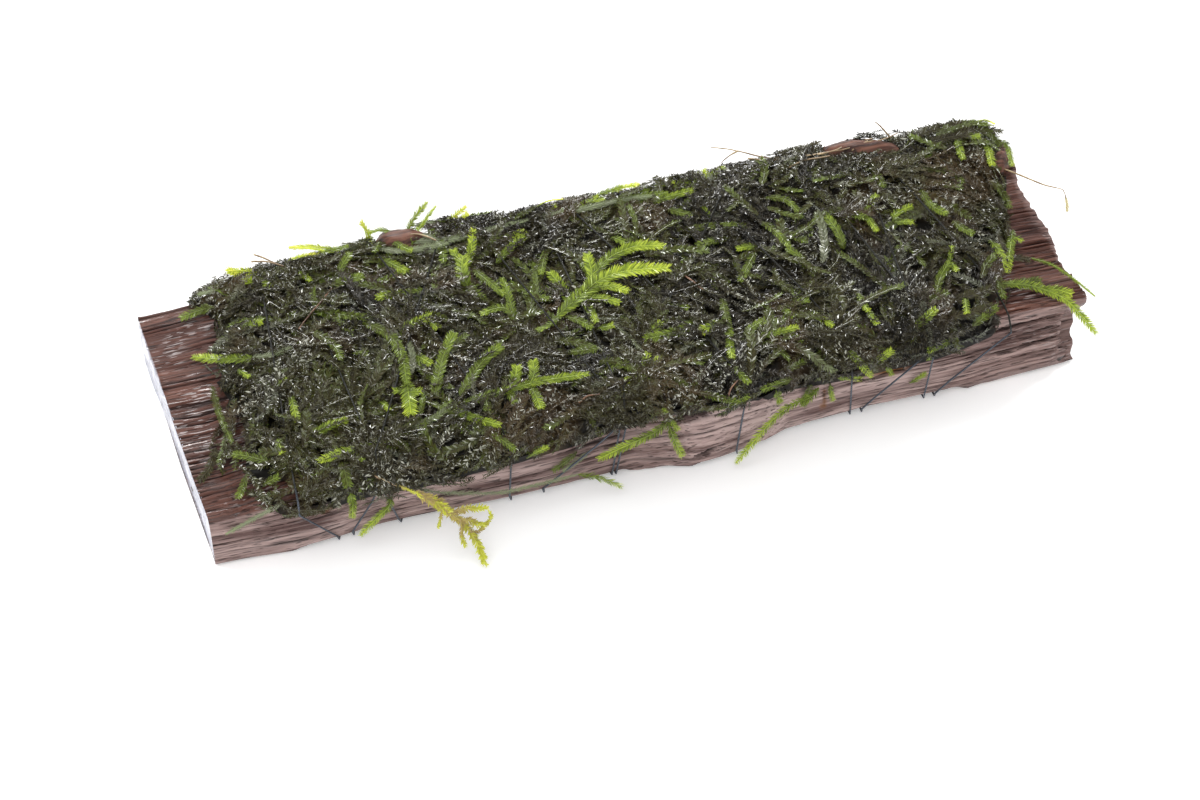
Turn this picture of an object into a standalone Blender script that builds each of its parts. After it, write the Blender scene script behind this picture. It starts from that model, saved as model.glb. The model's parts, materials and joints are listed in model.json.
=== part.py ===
"""Java moss tied with thread onto a block of driftwood that lies on its underside.

Frame: +X along the block, from its sawn end to its broken end; -Y is the face that the
thread shows on; +Z is up. The origin is on the middle rest pad, under the block.
All sizes are in metres.
"""

import math

import bmesh
import bpy
from mathutils import Vector, noise

GAP = 0.0003
THREAD_RADIUS = 0.0002
THREAD_CLEARANCE = 0.00035
THREAD_OVER_MOSS = 0.0006
THREAD_HUMP = 0.0009
HUMP_REACH = 0.0035
HUMP_FLOOR = 0.0025
HUMP_SHOULDER = 0.014
THREAD_STEP = 0.0045
THREAD_BACK_SHARE = 0.18
THREAD_SLACK = 0.00004

WOOD_LEFT = -0.0965
WOOD_RIGHT = 0.0935
WOOD_STATIONS = 36
STATION_GAP = 0.0022
CORNER_RADIUS = 0.0016

# Points round the block's section, and the place of each corner's first point in it
CORNER_POINTS = 3
SIDE_POINTS = 2
TOP_POINTS = 9
FOOT_POINTS = 7
BACK_TOP_CORNER = CORNER_POINTS + SIDE_POINTS
FRONT_TOP_CORNER = BACK_TOP_CORNER + CORNER_POINTS + TOP_POINTS
FRONT_FOOT_CORNER = FRONT_TOP_CORNER + CORNER_POINTS + SIDE_POINTS
SECTION_MIDDLE_Z = 0.010
END_REACH = 0.018
REST_HOLLOW = 0.0010
TOP_RIPPLE = 0.0004
RIPPLE_RATE = 210
RIPPLE_DRIFT = 7

# The torn end: rings drawn in towards its middle, and how rough they are
BREAK_RINGS = (0.30, 0.65)
BREAK_RELIEF = 0.0012
BREAK_GRAIN = 160

MOSS_GAP = 0.00055
MOSS_THICKNESS = 0.0033
MOSS_EDGE = 0.0009
MOSS_LUMP = 0.0009
MOSS_LUMP_SIZE = 0.014
MOSS_COLUMNS = 42
MOSS_FINE_LUMP = 0.0006
MOSS_FINE_RATE = 2.1
MOSS_BACK_LIP = 0.0012

# How far in from each border the mat reaches its full thickness: at its two ends in metres,
# and at its back and front edges as a share of the way across
MOSS_LEFT_RISE = 0.010
MOSS_RIGHT_RISE = 0.008
MOSS_BACK_RISE = 0.07
MOSS_FRONT_RISE = 0.09
MOSS_REACH = 0.006
ROW_PASSES = 3

# Outlines of the block: each is a list of (x, value)
FRONT_FOOT_Y = ((-0.095, -0.0319), (-0.075, -0.0327), (-0.056, -0.0314), (-0.033, -0.0319),
                (-0.004, -0.0310), (0.009, -0.0337), (0.018, -0.0326), (0.031, -0.0293),
                (0.045, -0.0287), (0.066, -0.0287), (0.087, -0.0280), (0.094, -0.0270))
FRONT_LEAN = 0.0005
BACK_Y = ((-0.095, 0.0312), (-0.060, 0.0310), (-0.038, 0.0318), (-0.016, 0.0292),
          (0.002, 0.0288), (0.032, 0.0288), (0.068, 0.0294), (0.094, 0.0274))
FRONT_TOP_Z = ((-0.095, 0.0128), (-0.076, 0.0149), (-0.055, 0.0164), (-0.038, 0.0175),
               (-0.021, 0.0180), (-0.009, 0.0197), (0.0075, 0.0213), (0.021, 0.0208),
               (0.044, 0.0196), (0.060, 0.0197), (0.075, 0.0204), (0.094, 0.0193))
BACK_TOP_Z = ((-0.095, 0.0126), (-0.075, 0.0140), (-0.045, 0.0160), (-0.020, 0.0178),
              (0.010, 0.0186), (0.040, 0.0188), (0.070, 0.0202), (0.094, 0.0206))
UNDERSIDE_Z = ((-0.0785, 0.0), (-0.0750, REST_HOLLOW), (-0.0085, REST_HOLLOW), (-0.0060, 0.0),
               (0.0060, 0.0), (0.0085, REST_HOLLOW), (0.0670, REST_HOLLOW), (0.0700, 0.0))

# How far each end stands off its mean plane: a list of (y, offset in x)
SAWN_END = ((-0.032, 0.0020), (0.031, -0.0021))
BROKEN_END = ((-0.028, 0.0024), (-0.0225, 0.0012), (-0.006, 0.0018), (0.011, 0.0014),
              (0.0215, 0.0032), (0.028, 0.0008))
BROKEN_UNDERCUT = 0.0012
UNDERCUT_HEIGHT = 0.012

# The moss's outline: its ends across the block, from back (0) to front (1), and its front lip
MOSS_LEFT = ((0.0, -0.0865), (0.2, -0.0810), (0.33, -0.0868), (0.5, -0.0835),
             (0.72, -0.0905), (0.93, -0.0835), (1.0, -0.0790))
MOSS_RIGHT = ((0.0, 0.0936), (0.2, 0.0944), (0.42, 0.0888), (0.6, 0.0840),
              (0.85, 0.0800), (1.0, 0.0730))
MOSS_FRONT_LIP = ((-0.090, 0.0004), (-0.070, 0.0012), (-0.050, 0.0034), (-0.035, 0.0030),
                  (-0.020, 0.0024), (-0.005, 0.0014), (0.010, 0.0012), (0.022, 0.0036),
                  (0.044, 0.0046), (0.060, 0.0044), (0.078, 0.0014))

# Each turn of the thread, in winding order: x at the top front edge, at the front foot
# and at the back foot, and whether the turn belongs to the upper pass
THREAD_TURNS = (
    (-0.0770, -0.0695, -0.0655, False),
    (-0.0593, -0.0564, -0.0510, False),
    (-0.0324, -0.0330, -0.0290, False),
    (-0.0093, -0.0106, -0.0106, False),
    (-0.0083, -0.0097, -0.0095, False),
    (0.0172, 0.0160, 0.0200, False),
    (0.0420, 0.0427, 0.0450, False),
    (0.0595, 0.0595, 0.0612, False),
    (0.0773, 0.0619, 0.0640, True),
    (0.0557, 0.0453, 0.0480, True),
    (-0.0106, -0.0259, -0.0220, True),
    (-0.0620, -0.0663, -0.0630, True),
)
KNOT_X = -0.0700
KNOT_Z = 0.0088
KNOT_RADIUS = 0.0007
KNOT_TAIL = 0.0004

# The thread's last run up the back face: share of the way to the knot, and z
KNOT_RUN = ((0.35, 0.0045), (0.75, 0.0066))

# Shoots and stems that stand out of the mat: name, finish, and points of (x, y, z, radius)
SHOOTS = (
    ("drooping_shoot", "fresh_moss",
     ((0.0318, -0.0330, 0.0140, 0.0006), (0.0275, -0.0340, 0.0141, 0.0009),
      (0.0235, -0.0352, 0.0128, 0.0010), (0.0198, -0.0360, 0.0092, 0.0010),
      (0.0170, -0.0363, 0.0055, 0.0009), (0.0149, -0.0362, 0.0021, 0.0006))),
    ("trailing_shoot", "fresh_moss",
     ((-0.0500, -0.0358, 0.0135, 0.0005), (-0.0425, -0.0362, 0.0110, 0.0007),
      (-0.0355, -0.0366, 0.0095, 0.0007), (-0.0275, -0.0358, 0.0086, 0.0007),
      (-0.0190, -0.0350, 0.0080, 0.0007), (-0.0135, -0.0354, 0.0052, 0.0009),
      (-0.0101, -0.0364, 0.0027, 0.0007))),
    ("front_shoot_left", "fresh_moss",
     ((-0.0588, -0.0356, 0.0116, 0.0006), (-0.0612, -0.0358, 0.0093, 0.0009),
      (-0.0634, -0.0357, 0.0067, 0.0009), (-0.0651, -0.0354, 0.0042, 0.0006))),
    ("front_shoot_far_left", "fresh_moss",
     ((-0.0660, -0.0349, 0.0132, 0.0006), (-0.0662, -0.0352, 0.0118, 0.0008),
      (-0.0664, -0.0352, 0.0100, 0.0006))),
    ("front_shoot_long", "fresh_moss",
     ((-0.0025, -0.0354, 0.0165, 0.0006), (-0.0060, -0.0358, 0.0156, 0.0010),
      (-0.0107, -0.0358, 0.0140, 0.0010), (-0.0147, -0.0354, 0.0119, 0.0007))),
    ("front_shoot_hanging", "fresh_moss",
     ((0.0008, -0.0357, 0.0152, 0.0006), (0.0014, -0.0360, 0.0132, 0.0009),
      (0.0022, -0.0362, 0.0106, 0.0009), (0.0031, -0.0362, 0.0080, 0.0006))),
    ("broken_end_shoot", "fresh_moss",
     ((0.0832, -0.0222, 0.0224, 0.0006), (0.0868, -0.0246, 0.0221, 0.0010),
      (0.0902, -0.0278, 0.0213, 0.0010), (0.0926, -0.0316, 0.0192, 0.0010),
      (0.0945, -0.0352, 0.0172, 0.0006))),
    ("broken_end_needle", "fresh_moss",
     ((0.0908, -0.0178, 0.0222, 0.0004), (0.0936, -0.0221, 0.0218, 0.0005),
      (0.0976, -0.0267, 0.0192, 0.0003))),
    ("broken_end_runner", "moss_stem",
     ((0.0950, 0.0107, 0.0226, 0.0004), (0.0968, 0.0078, 0.0222, 0.0004),
      (0.1000, 0.0055, 0.0212, 0.0004), (0.1028, 0.0046, 0.0198, 0.0006),
      (0.1032, 0.0025, 0.0185, 0.0010), (0.1030, 0.0012, 0.0176, 0.0006))),
    ("back_shoot_tall", "fresh_moss",
     ((-0.0381, 0.0321, 0.0204, 0.0006), (-0.0369, 0.0326, 0.0228, 0.0009),
      (-0.0351, 0.0329, 0.0250, 0.0009), (-0.0333, 0.0331, 0.0268, 0.0006))),
    ("back_shoot_short", "fresh_moss",
     ((-0.0288, 0.0320, 0.0209, 0.0005), (-0.0274, 0.0321, 0.0225, 0.0009),
      (-0.0250, 0.0321, 0.0242, 0.0006))),
    ("back_shoot_level", "fresh_moss",
     ((-0.0546, 0.0332, 0.0182, 0.0005), (-0.0570, 0.0338, 0.0190, 0.0009),
      (-0.0604, 0.0341, 0.0199, 0.0009), (-0.0640, 0.0345, 0.0200, 0.0006))),
    ("back_shoot_upright", "fresh_moss",
     ((-0.0465, 0.0332, 0.0194, 0.0006), (-0.0469, 0.0340, 0.0214, 0.0009),
      (-0.0480, 0.0346, 0.0236, 0.0006))),
    ("sawn_end_shoot", "fresh_moss",
     ((-0.0735, 0.0314, 0.0182, 0.0006), (-0.0752, 0.0320, 0.0187, 0.0010),
      (-0.0778, 0.0323, 0.0190, 0.0007))),
    ("back_stem_stub", "moss_stem",
     ((0.0715, 0.0312, 0.0224, 0.0004), (0.0703, 0.0322, 0.0236, 0.0004),
      (0.0692, 0.0328, 0.0248, 0.0003))),
)

# The two forked stems: each is a list of branches of (x, y, z, radius)
GOLDEN_SPRIG = (
    ((-0.0582, -0.0355, 0.0162, 0.0005), (-0.0545, -0.0366, 0.0160, 0.0006),
     (-0.0505, -0.0388, 0.0142, 0.0009), (-0.0473, -0.0402, 0.0110, 0.0010),
     (-0.0448, -0.0418, 0.0080, 0.0010), (-0.0432, -0.0437, 0.0052, 0.0009),
     (-0.0424, -0.0458, 0.0031, 0.0009), (-0.0424, -0.0478, 0.0018, 0.0007)),
    ((-0.0473, -0.0402, 0.0110, 0.0008), (-0.0438, -0.0409, 0.0119, 0.0009),
     (-0.0399, -0.0413, 0.0115, 0.0006)),
    ((-0.0462, -0.0408, 0.0096, 0.0008), (-0.0432, -0.0421, 0.0090, 0.0009),
     (-0.0406, -0.0430, 0.0080, 0.0006)),
    ((-0.0484, -0.0396, 0.0122, 0.0006), (-0.0494, -0.0404, 0.0100, 0.0007),
     (-0.0501, -0.0411, 0.0080, 0.0005)),
)
BACK_RUNNER = (
    ((0.0413, 0.0312, 0.0226, 0.0005), (0.0385, 0.0322, 0.0238, 0.0005),
     (0.0349, 0.0334, 0.0247, 0.0004), (0.0311, 0.0344, 0.0254, 0.0003)),
    ((0.0366, 0.0328, 0.0243, 0.0004), (0.0346, 0.0320, 0.0238, 0.0004),
     (0.0328, 0.0315, 0.0230, 0.0003)),
)

FINISHES = {
    "wet_driftwood": ((0.105, 0.052, 0.042, 1.0), 0.35),
    "matted_moss": ((0.035, 0.045, 0.018, 1.0), 0.45),
    "fresh_moss": ((0.30, 0.46, 0.05, 1.0), 0.50),
    "golden_moss": ((0.52, 0.46, 0.10, 1.0), 0.50),
    "moss_stem": ((0.36, 0.22, 0.10, 1.0), 0.55),
    "slate_thread": ((0.085, 0.095, 0.115, 1.0), 0.60),
}


def along(profile, x):
    """Value of an outline at x, eased between its points and held beyond them."""
    if x <= profile[0][0]:
        return profile[0][1]
    for (x0, value0), (x1, value1) in zip(profile, profile[1:]):
        if x <= x1:
            share = (x - x0) / (x1 - x0)
            return value0 + (value1 - value0) * share * share * (3 - 2 * share)
    return profile[-1][1]


def mix(start, end, share):
    """Straight blend of two numbers."""
    return start + (end - start) * share


def make_material(name):
    """Principled material of one finish."""
    colour, roughness = FINISHES[name]
    material = bpy.data.materials.new(name)
    material.use_nodes = True
    shader = material.node_tree.nodes["Principled BSDF"]
    shader.inputs["Base Color"].default_value = colour
    shader.inputs["Roughness"].default_value = roughness
    shader.inputs["Metallic"].default_value = 0.0
    return material


def add_object(name, data, collection, finish):
    """New object in a collection, dressed in one finish."""
    obj = bpy.data.objects.new(name, data)
    collection.objects.link(obj)
    data.materials.append(finish)
    return obj


def smooth_by_angle(obj, degrees):
    """Shade smooth, but keep edges sharper than the angle."""
    obj.data.shade_smooth()
    obj.data.set_sharp_from_angle(angle=math.radians(degrees))


# Driftwood

def block_corners(x):
    """Corners of the block's section at x as (y, z): back foot, back top, front top, front foot."""
    foot_z = along(UNDERSIDE_Z, x)
    back_y = along(BACK_Y, x)
    front_y = along(FRONT_FOOT_Y, x)
    return (Vector((back_y, foot_z)), Vector((back_y, along(BACK_TOP_Z, x))),
            Vector((front_y + FRONT_LEAN, along(FRONT_TOP_Z, x))), Vector((front_y, foot_z)))


def block_section(x):
    """The block's outline at x as (y, z), from the back foot round over the top to the foot."""
    corners = block_corners(x)
    counts = (SIDE_POINTS, TOP_POINTS, SIDE_POINTS, FOOT_POINTS)
    outline = []
    for index, corner in enumerate(corners):
        before = (corners[index - 1] - corner).normalized() * CORNER_RADIUS
        after_corner = corners[(index + 1) % 4]
        after = (after_corner - corner).normalized() * CORNER_RADIUS
        for step in range(CORNER_POINTS):
            share = step / (CORNER_POINTS - 1)
            enter = (1 - share) ** 2
            leave = share ** 2
            outline.append(corner + before * enter + after * leave)
        start = corner + after
        end = after_corner - after
        for step in range(1, counts[index] + 1):
            share = step / (counts[index] + 1)
            point = start.lerp(end, share)
            if index == 1:
                swell = math.sin(math.pi * share)
                point.y += TOP_RIPPLE * swell * math.sin(x * RIPPLE_RATE + share * RIPPLE_DRIFT)
            outline.append(point)
    return outline


def end_offset(x, point):
    """How far a point of the section moves in x, near the sawn or the broken end."""
    y, z = point
    from_left = x - WOOD_LEFT
    from_right = WOOD_RIGHT - x
    offset = 0.0
    if from_left < END_REACH:
        fade = 1 - from_left / END_REACH
        offset += along(SAWN_END, y) * fade
    if from_right < END_REACH:
        fade = (1 - from_right / END_REACH) ** 2
        undercut = max(0.0, 1 - z / UNDERCUT_HEIGHT) * BROKEN_UNDERCUT
        offset += (along(BROKEN_END, y) - undercut) * fade
    return offset


def wood_stations():
    """x of each section: even steps, with a section at each change of the underside."""
    changes = [x for x, _ in UNDERSIDE_Z]
    even = [mix(WOOD_LEFT, WOOD_RIGHT, step / (WOOD_STATIONS - 1)) for step in range(WOOD_STATIONS)]
    return sorted(changes + [x for x in even if min(abs(x - c) for c in changes) > STATION_GAP])


def make_driftwood(collection, finish):
    """The block: one loft of unlike sections, with a sawn left end and a torn right end."""
    mesh = bmesh.new()
    loops = []
    for x in wood_stations():
        loops.append([mesh.verts.new((x + end_offset(x, point), point.x, point.y))
                      for point in block_section(x)])
    for loop, following in zip(loops, loops[1:]):
        for index in range(len(loop)):
            nxt = (index + 1) % len(loop)
            mesh.faces.new((loop[index], loop[nxt], following[nxt], following[index]))
    mesh.faces.new(loops[0][::-1])
    torn = [loops[-1]]
    middle = Vector((WOOD_RIGHT, 0.0, SECTION_MIDDLE_Z))
    for inset in BREAK_RINGS:
        ring = []
        for vert in loops[-1]:
            place = vert.co.lerp(middle, inset)
            place.x += BREAK_RELIEF * noise.noise(place * BREAK_GRAIN)
            ring.append(mesh.verts.new(place))
        torn.append(ring)
    for loop, following in zip(torn, torn[1:]):
        for index in range(len(loop)):
            nxt = (index + 1) % len(loop)
            mesh.faces.new((loop[index], loop[nxt], following[nxt], following[index]))
    hub = mesh.verts.new(middle - Vector((BREAK_RELIEF, 0.0, 0.0)))
    for index in range(len(torn[-1])):
        nxt = (index + 1) % len(torn[-1])
        mesh.faces.new((torn[-1][index], torn[-1][nxt], hub))
    bmesh.ops.recalc_face_normals(mesh, faces=mesh.faces)
    data = bpy.data.meshes.new("driftwood")
    mesh.to_mesh(data)
    mesh.free()
    obj = add_object("driftwood", data, collection, finish)
    smooth_by_angle(obj, 40)
    return obj


# Moss mat

def moss_path(x):
    """Outline under the mat at x, from its back lip to its front lip, and the length so far."""
    back_foot, back_top, front_top, front_foot = block_corners(x)
    down_back = (back_foot - back_top).normalized()
    down_front = (front_foot - front_top).normalized()
    path = [back_top + down_back * (MOSS_BACK_LIP + CORNER_RADIUS)]
    path += block_section(x)[BACK_TOP_CORNER:FRONT_TOP_CORNER + CORNER_POINTS]
    path.append(front_top + down_front * (along(MOSS_FRONT_LIP, x) + CORNER_RADIUS))
    lengths = [0.0]
    for start, end in zip(path, path[1:]):
        lengths.append(lengths[-1] + (end - start).length)
    return path, lengths


def outward_at(path, low, high):
    """Direction square to a path, away from the block, between two of its points."""
    spread = (path[min(high, len(path) - 1)] - path[max(low, 0)]).normalized()
    return Vector((spread.y, -spread.x))


def moss_height(x, across, place):
    """Thickness of the mat: lumpy in the middle, thin along its border."""
    left = along(MOSS_LEFT, across)
    right = along(MOSS_RIGHT, across)
    border = min((x - left) / MOSS_LEFT_RISE, (right - x) / MOSS_RIGHT_RISE,
                 across / MOSS_BACK_RISE, (1 - across) / MOSS_FRONT_RISE, 1.0)
    border = math.sin(max(border, 0.0) * math.pi / 2)
    spot = Vector((x, place.x, place.y)) / MOSS_LUMP_SIZE
    lump = MOSS_LUMP * noise.noise(spot) + MOSS_FINE_LUMP * noise.noise(spot * MOSS_FINE_RATE)
    return MOSS_EDGE + (MOSS_THICKNESS - MOSS_EDGE + lump) * border


def moss_row(row, x_across):
    """Place of one row of the mat, its outward direction, x and height, along a line of x."""
    x = x_across(0.5)
    for _ in range(ROW_PASSES):
        path, lengths = moss_path(x)
        across = lengths[row] / lengths[-1]
        x = x_across(across)
    path = moss_path(x)[0]
    return path[row], outward_at(path, row - 1, row + 1), x, moss_height(x, across, path[row])


def make_moss_mat(collection, finish):
    """The mat: a lumpy layer that follows the block's top and hangs over its long edges."""
    mesh = bmesh.new()
    under = []
    over = []
    rows = len(moss_path(0.0)[0])
    for column in range(MOSS_COLUMNS):
        under_row = []
        over_row = []
        share = column / (MOSS_COLUMNS - 1)

        def x_across(across, share=share):
            return mix(along(MOSS_LEFT, across), along(MOSS_RIGHT, across), share)

        for row in range(rows):
            place, outward, x, height = moss_row(row, x_across)
            inner = place + outward * MOSS_GAP
            outer = place + outward * (MOSS_GAP + height)
            under_row.append(mesh.verts.new((x, inner.x, inner.y)))
            over_row.append(mesh.verts.new((x, outer.x, outer.y)))
        under.append(under_row)
        over.append(over_row)
    for column in range(MOSS_COLUMNS - 1):
        for row in range(rows - 1):
            for grid in (under, over):
                mesh.faces.new((grid[column][row], grid[column][row + 1],
                                grid[column + 1][row + 1], grid[column + 1][row]))
    for row in range(rows - 1):
        for column in (0, MOSS_COLUMNS - 1):
            mesh.faces.new((under[column][row], under[column][row + 1],
                            over[column][row + 1], over[column][row]))
    for column in range(MOSS_COLUMNS - 1):
        for row in (0, rows - 1):
            mesh.faces.new((under[column][row], under[column + 1][row],
                            over[column + 1][row], over[column][row]))
    bmesh.ops.recalc_face_normals(mesh, faces=mesh.faces)
    data = bpy.data.meshes.new("moss_mat")
    mesh.to_mesh(data)
    mesh.free()
    obj = add_object("moss_mat", data, collection, finish)
    smooth_by_angle(obj, 50)
    return obj


# Binding thread

def thread_samples(x_from, x_top, x_foot, x_to):
    """Points just off wood and moss once round the block, from the back foot to the back foot."""
    samples = []
    count = len(block_section(0.0))
    for index in range(1, count + 1):
        if index <= FRONT_TOP_CORNER:
            x = mix(x_from, x_top, (index - 1) / (FRONT_TOP_CORNER - 1))
        elif index <= FRONT_FOOT_CORNER:
            x = mix(x_top, x_foot, (index - FRONT_TOP_CORNER) / (FRONT_FOOT_CORNER - FRONT_TOP_CORNER))
        else:
            x = mix(x_foot, x_to, (index - FRONT_FOOT_CORNER) / (count - FRONT_FOOT_CORNER))
        outline = block_section(x)
        spread = (outline[(index + 1) % count] - outline[index - 1]).normalized()
        outward = Vector((spread.y, -spread.x))
        place = outline[index % count] + outward * (THREAD_CLEARANCE + THREAD_RADIUS)
        samples.append(Vector((x, place.x, place.y)))

    def x_across(across):
        return mix(x_from, x_top, mix(THREAD_BACK_SHARE, 1.0, across))

    for row in range(len(moss_path(0.0)[0])):
        place, outward, x, height = moss_row(row, x_across)
        if MOSS_LEFT[1][1] - MOSS_REACH < x < MOSS_RIGHT[-1][1] + MOSS_REACH:
            place = place + outward * (MOSS_GAP + height + THREAD_OVER_MOSS + THREAD_RADIUS)
            samples.append(Vector((x, place.x, place.y)))
    return samples


def taut_turn(samples):
    """The samples that a taut thread touches: their hull seen along the block."""
    def turned(point):
        return math.atan2(point.z - SECTION_MIDDLE_Z, point.y)

    start = turned(samples[0])
    ordered = sorted(samples, key=lambda point: (turned(point) - start) % (2 * math.pi))
    hull = []
    for point in ordered + ordered[:1]:
        while len(hull) > 1:
            first = hull[-1] - hull[-2]
            second = point - hull[-1]
            if first.y * second.z > first.z * second.y:
                break
            hull.pop()
        hull.append(point)
    return hull[:-1]


def spaced(points, step):
    """The same route with extra points wherever two are further apart than a step."""
    route = [points[0]]
    for start, end in zip(points, points[1:]):
        parts = max(1, math.ceil((end - start).length / step))
        for part in range(1, parts + 1):
            route.append(start.lerp(end, part / parts))
    return route


def thinned(points, slack):
    """The same route without the points that lie on a straight run."""
    route = [points[0]]
    for point, following in zip(points[1:], points[2:]):
        run = following - route[-1]
        away = (point - route[-1]).cross(run).length / run.length
        if away > slack:
            route.append(point)
    return route + points[-1:]


def distance_to_route(point, route):
    """Shortest distance from a point to a route of straight pieces."""
    nearest = 1.0
    for start, end in zip(route, route[1:]):
        run = end - start
        share = min(max((point - start).dot(run) / run.length_squared, 0.0), 1.0)
        nearest = min(nearest, (point - start - run * share).length)
    return nearest


def hump_over(points, earlier):
    """Lift a later turn outwards, in a long low hump, wherever it crosses an earlier one."""
    lifted = []
    for point in points:
        away = distance_to_route(point, earlier) / HUMP_REACH
        if away < 1 and point.z > HUMP_FLOOR:
            outward = Vector((0.0, 0.0, 1.0))
            if point.z < HUMP_SHOULDER:
                outward = Vector((0.0, math.copysign(1.0, point.y), 0.0))
            point = point + outward * THREAD_HUMP * (1 - away * away) ** 2
        lifted.append(point)
    return lifted


def thread_route():
    """The whole thread, from the knot through every turn and back to the knot."""
    knot_y = along(BACK_Y, KNOT_X) + KNOT_RADIUS + GAP
    route = [Vector((KNOT_X, knot_y, KNOT_Z + KNOT_RADIUS + GAP))]
    x_from = KNOT_X
    for x_top, x_foot, x_to, upper in THREAD_TURNS:
        turn = taut_turn(thread_samples(x_from, x_top, x_foot, x_to))
        while len(route) == 1 and turn[0].z < route[0].z:
            turn.pop(0)
        if upper:
            turn = hump_over(spaced(turn, THREAD_STEP), route)
        route += thinned(turn, THREAD_SLACK)
        x_from = x_to
    route += thread_samples(x_from, x_from, x_from, x_from)[:2]
    last_run = [Vector((mix(x_from, KNOT_X, share), knot_y, z)) for share, z in KNOT_RUN]
    route += hump_over(last_run, route[:-1])
    route.append(Vector((KNOT_X + KNOT_TAIL, knot_y, KNOT_Z - KNOT_RADIUS - GAP)))
    return route


def add_wire(name, points, radii, collection, finish):
    """A closed tube along a route: a poly curve with a bevel and filled ends."""
    curve = bpy.data.curves.new(name, "CURVE")
    curve.dimensions = "3D"
    curve.bevel_depth = 1.0
    curve.bevel_resolution = 2
    curve.use_fill_caps = True
    spline = curve.splines.new("POLY")
    spline.points.add(len(points) - 1)
    for target, point, radius in zip(spline.points, points, radii):
        target.co = (point[0], point[1], point[2], 1.0)
        target.radius = radius
    return add_object(name, curve, collection, finish)


def make_thread(collection, finish):
    """The binding thread, one continuous tube."""
    route = thread_route()
    return add_wire("binding_thread", route, [THREAD_RADIUS] * len(route), collection, finish)


def make_knot(collection, finish):
    """The small round knot that joins the thread's ends on the back face."""
    knot_y = along(BACK_Y, KNOT_X) + KNOT_RADIUS + GAP
    bpy.ops.mesh.primitive_ico_sphere_add(subdivisions=2, radius=KNOT_RADIUS,
                                          location=(KNOT_X, knot_y, KNOT_Z))
    obj = bpy.context.active_object
    obj.name = "thread_knot"
    obj.data.name = "thread_knot"
    for owner in obj.users_collection:
        owner.objects.unlink(obj)
    collection.objects.link(obj)
    obj.data.materials.append(finish)
    obj.data.shade_smooth()
    return obj


# Shoots and stems

def softened(points):
    """The points of a route with one smooth point added between each pair."""
    padded = [points[0]] + list(points) + [points[-1]]
    route = []
    for a, b, c, d in zip(padded, padded[1:], padded[2:], padded[3:]):
        route.append(b)
        route.append(tuple((9 * (q + r) - (p + s)) / 16 for p, q, r, s in zip(a, b, c, d)))
    route.append(points[-1])
    return route


def add_shoot(name, points, collection, finish):
    """One shoot or stem, a tube whose radius changes along its route."""
    route = softened(points)
    return add_wire(name, [point[:3] for point in route], [point[3] for point in route],
                    collection, finish)


def as_mesh(obj, collection, finish):
    """Replace a tube by its mesh, with the ends welded."""
    graph = bpy.context.evaluated_depsgraph_get()
    data = bpy.data.meshes.new_from_object(obj.evaluated_get(graph))
    work = bmesh.new()
    work.from_mesh(data)
    bmesh.ops.remove_doubles(work, verts=work.verts, dist=0.000001)
    bmesh.ops.recalc_face_normals(work, faces=work.faces)
    work.to_mesh(data)
    work.free()
    data.materials.clear()
    name = obj.name
    place = obj.matrix_world.copy()
    bpy.data.objects.remove(obj)
    made = add_object(name, data, collection, finish)
    made.matrix_world = place
    return made


def make_forked(name, branches, collection, guides, finish):
    """A forked stem: its branches joined into its main run."""
    main = as_mesh(add_shoot(name, branches[0], collection, finish), collection, finish)
    for number, points in enumerate(branches[1:], start=1):
        tube = add_shoot(f"{name}_fork_{number}", points, guides, finish)
        branch = as_mesh(tube, guides, finish)
        branch.hide_render = True
        branch.display_type = "WIRE"
        joint = main.modifiers.new(f"fork_{number}", "BOOLEAN")
        joint.operation = "UNION"
        joint.solver = "EXACT"
        joint.object = branch
    main.data.shade_smooth()
    return main


def main():
    """Build every piece of the object."""
    for obj in list(bpy.data.objects):
        bpy.data.objects.remove(obj)
    parts = bpy.data.collections.new("java_moss_on_driftwood")
    guides = bpy.data.collections.new("fork_guides")
    for collection in (parts, guides):
        bpy.context.scene.collection.children.link(collection)
    finishes = {name: make_material(name) for name in FINISHES}
    make_driftwood(parts, finishes["wet_driftwood"])
    make_moss_mat(parts, finishes["matted_moss"])
    make_thread(parts, finishes["slate_thread"])
    make_knot(parts, finishes["slate_thread"])
    for name, finish, points in SHOOTS:
        add_shoot(name, points, parts, finishes[finish])
    make_forked("golden_sprig", GOLDEN_SPRIG, parts, guides, finishes["golden_moss"])
    make_forked("back_runner", BACK_RUNNER, parts, guides, finishes["moss_stem"])


main()
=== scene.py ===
"""Looks of the java moss on driftwood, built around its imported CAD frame.

The block of wet driftwood, the dark matted moss on its top, the clear single shoots, the bare
stems and the wound thread are each a class below. All sizes are in metres, in the CAD frame:
+X along the block, -Y to the face that the thread shows on, +Z up.
"""

import json
import logging
import math
from dataclasses import dataclass, field, replace
from enum import Enum

import bmesh
import bpy
import numpy as np
from bpy.types import ID, ColorRamp, Material, Mesh, Node, NodeSocket, NodeTree, Object
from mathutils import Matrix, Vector
from mathutils.bvhtree import BVHTree

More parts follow.
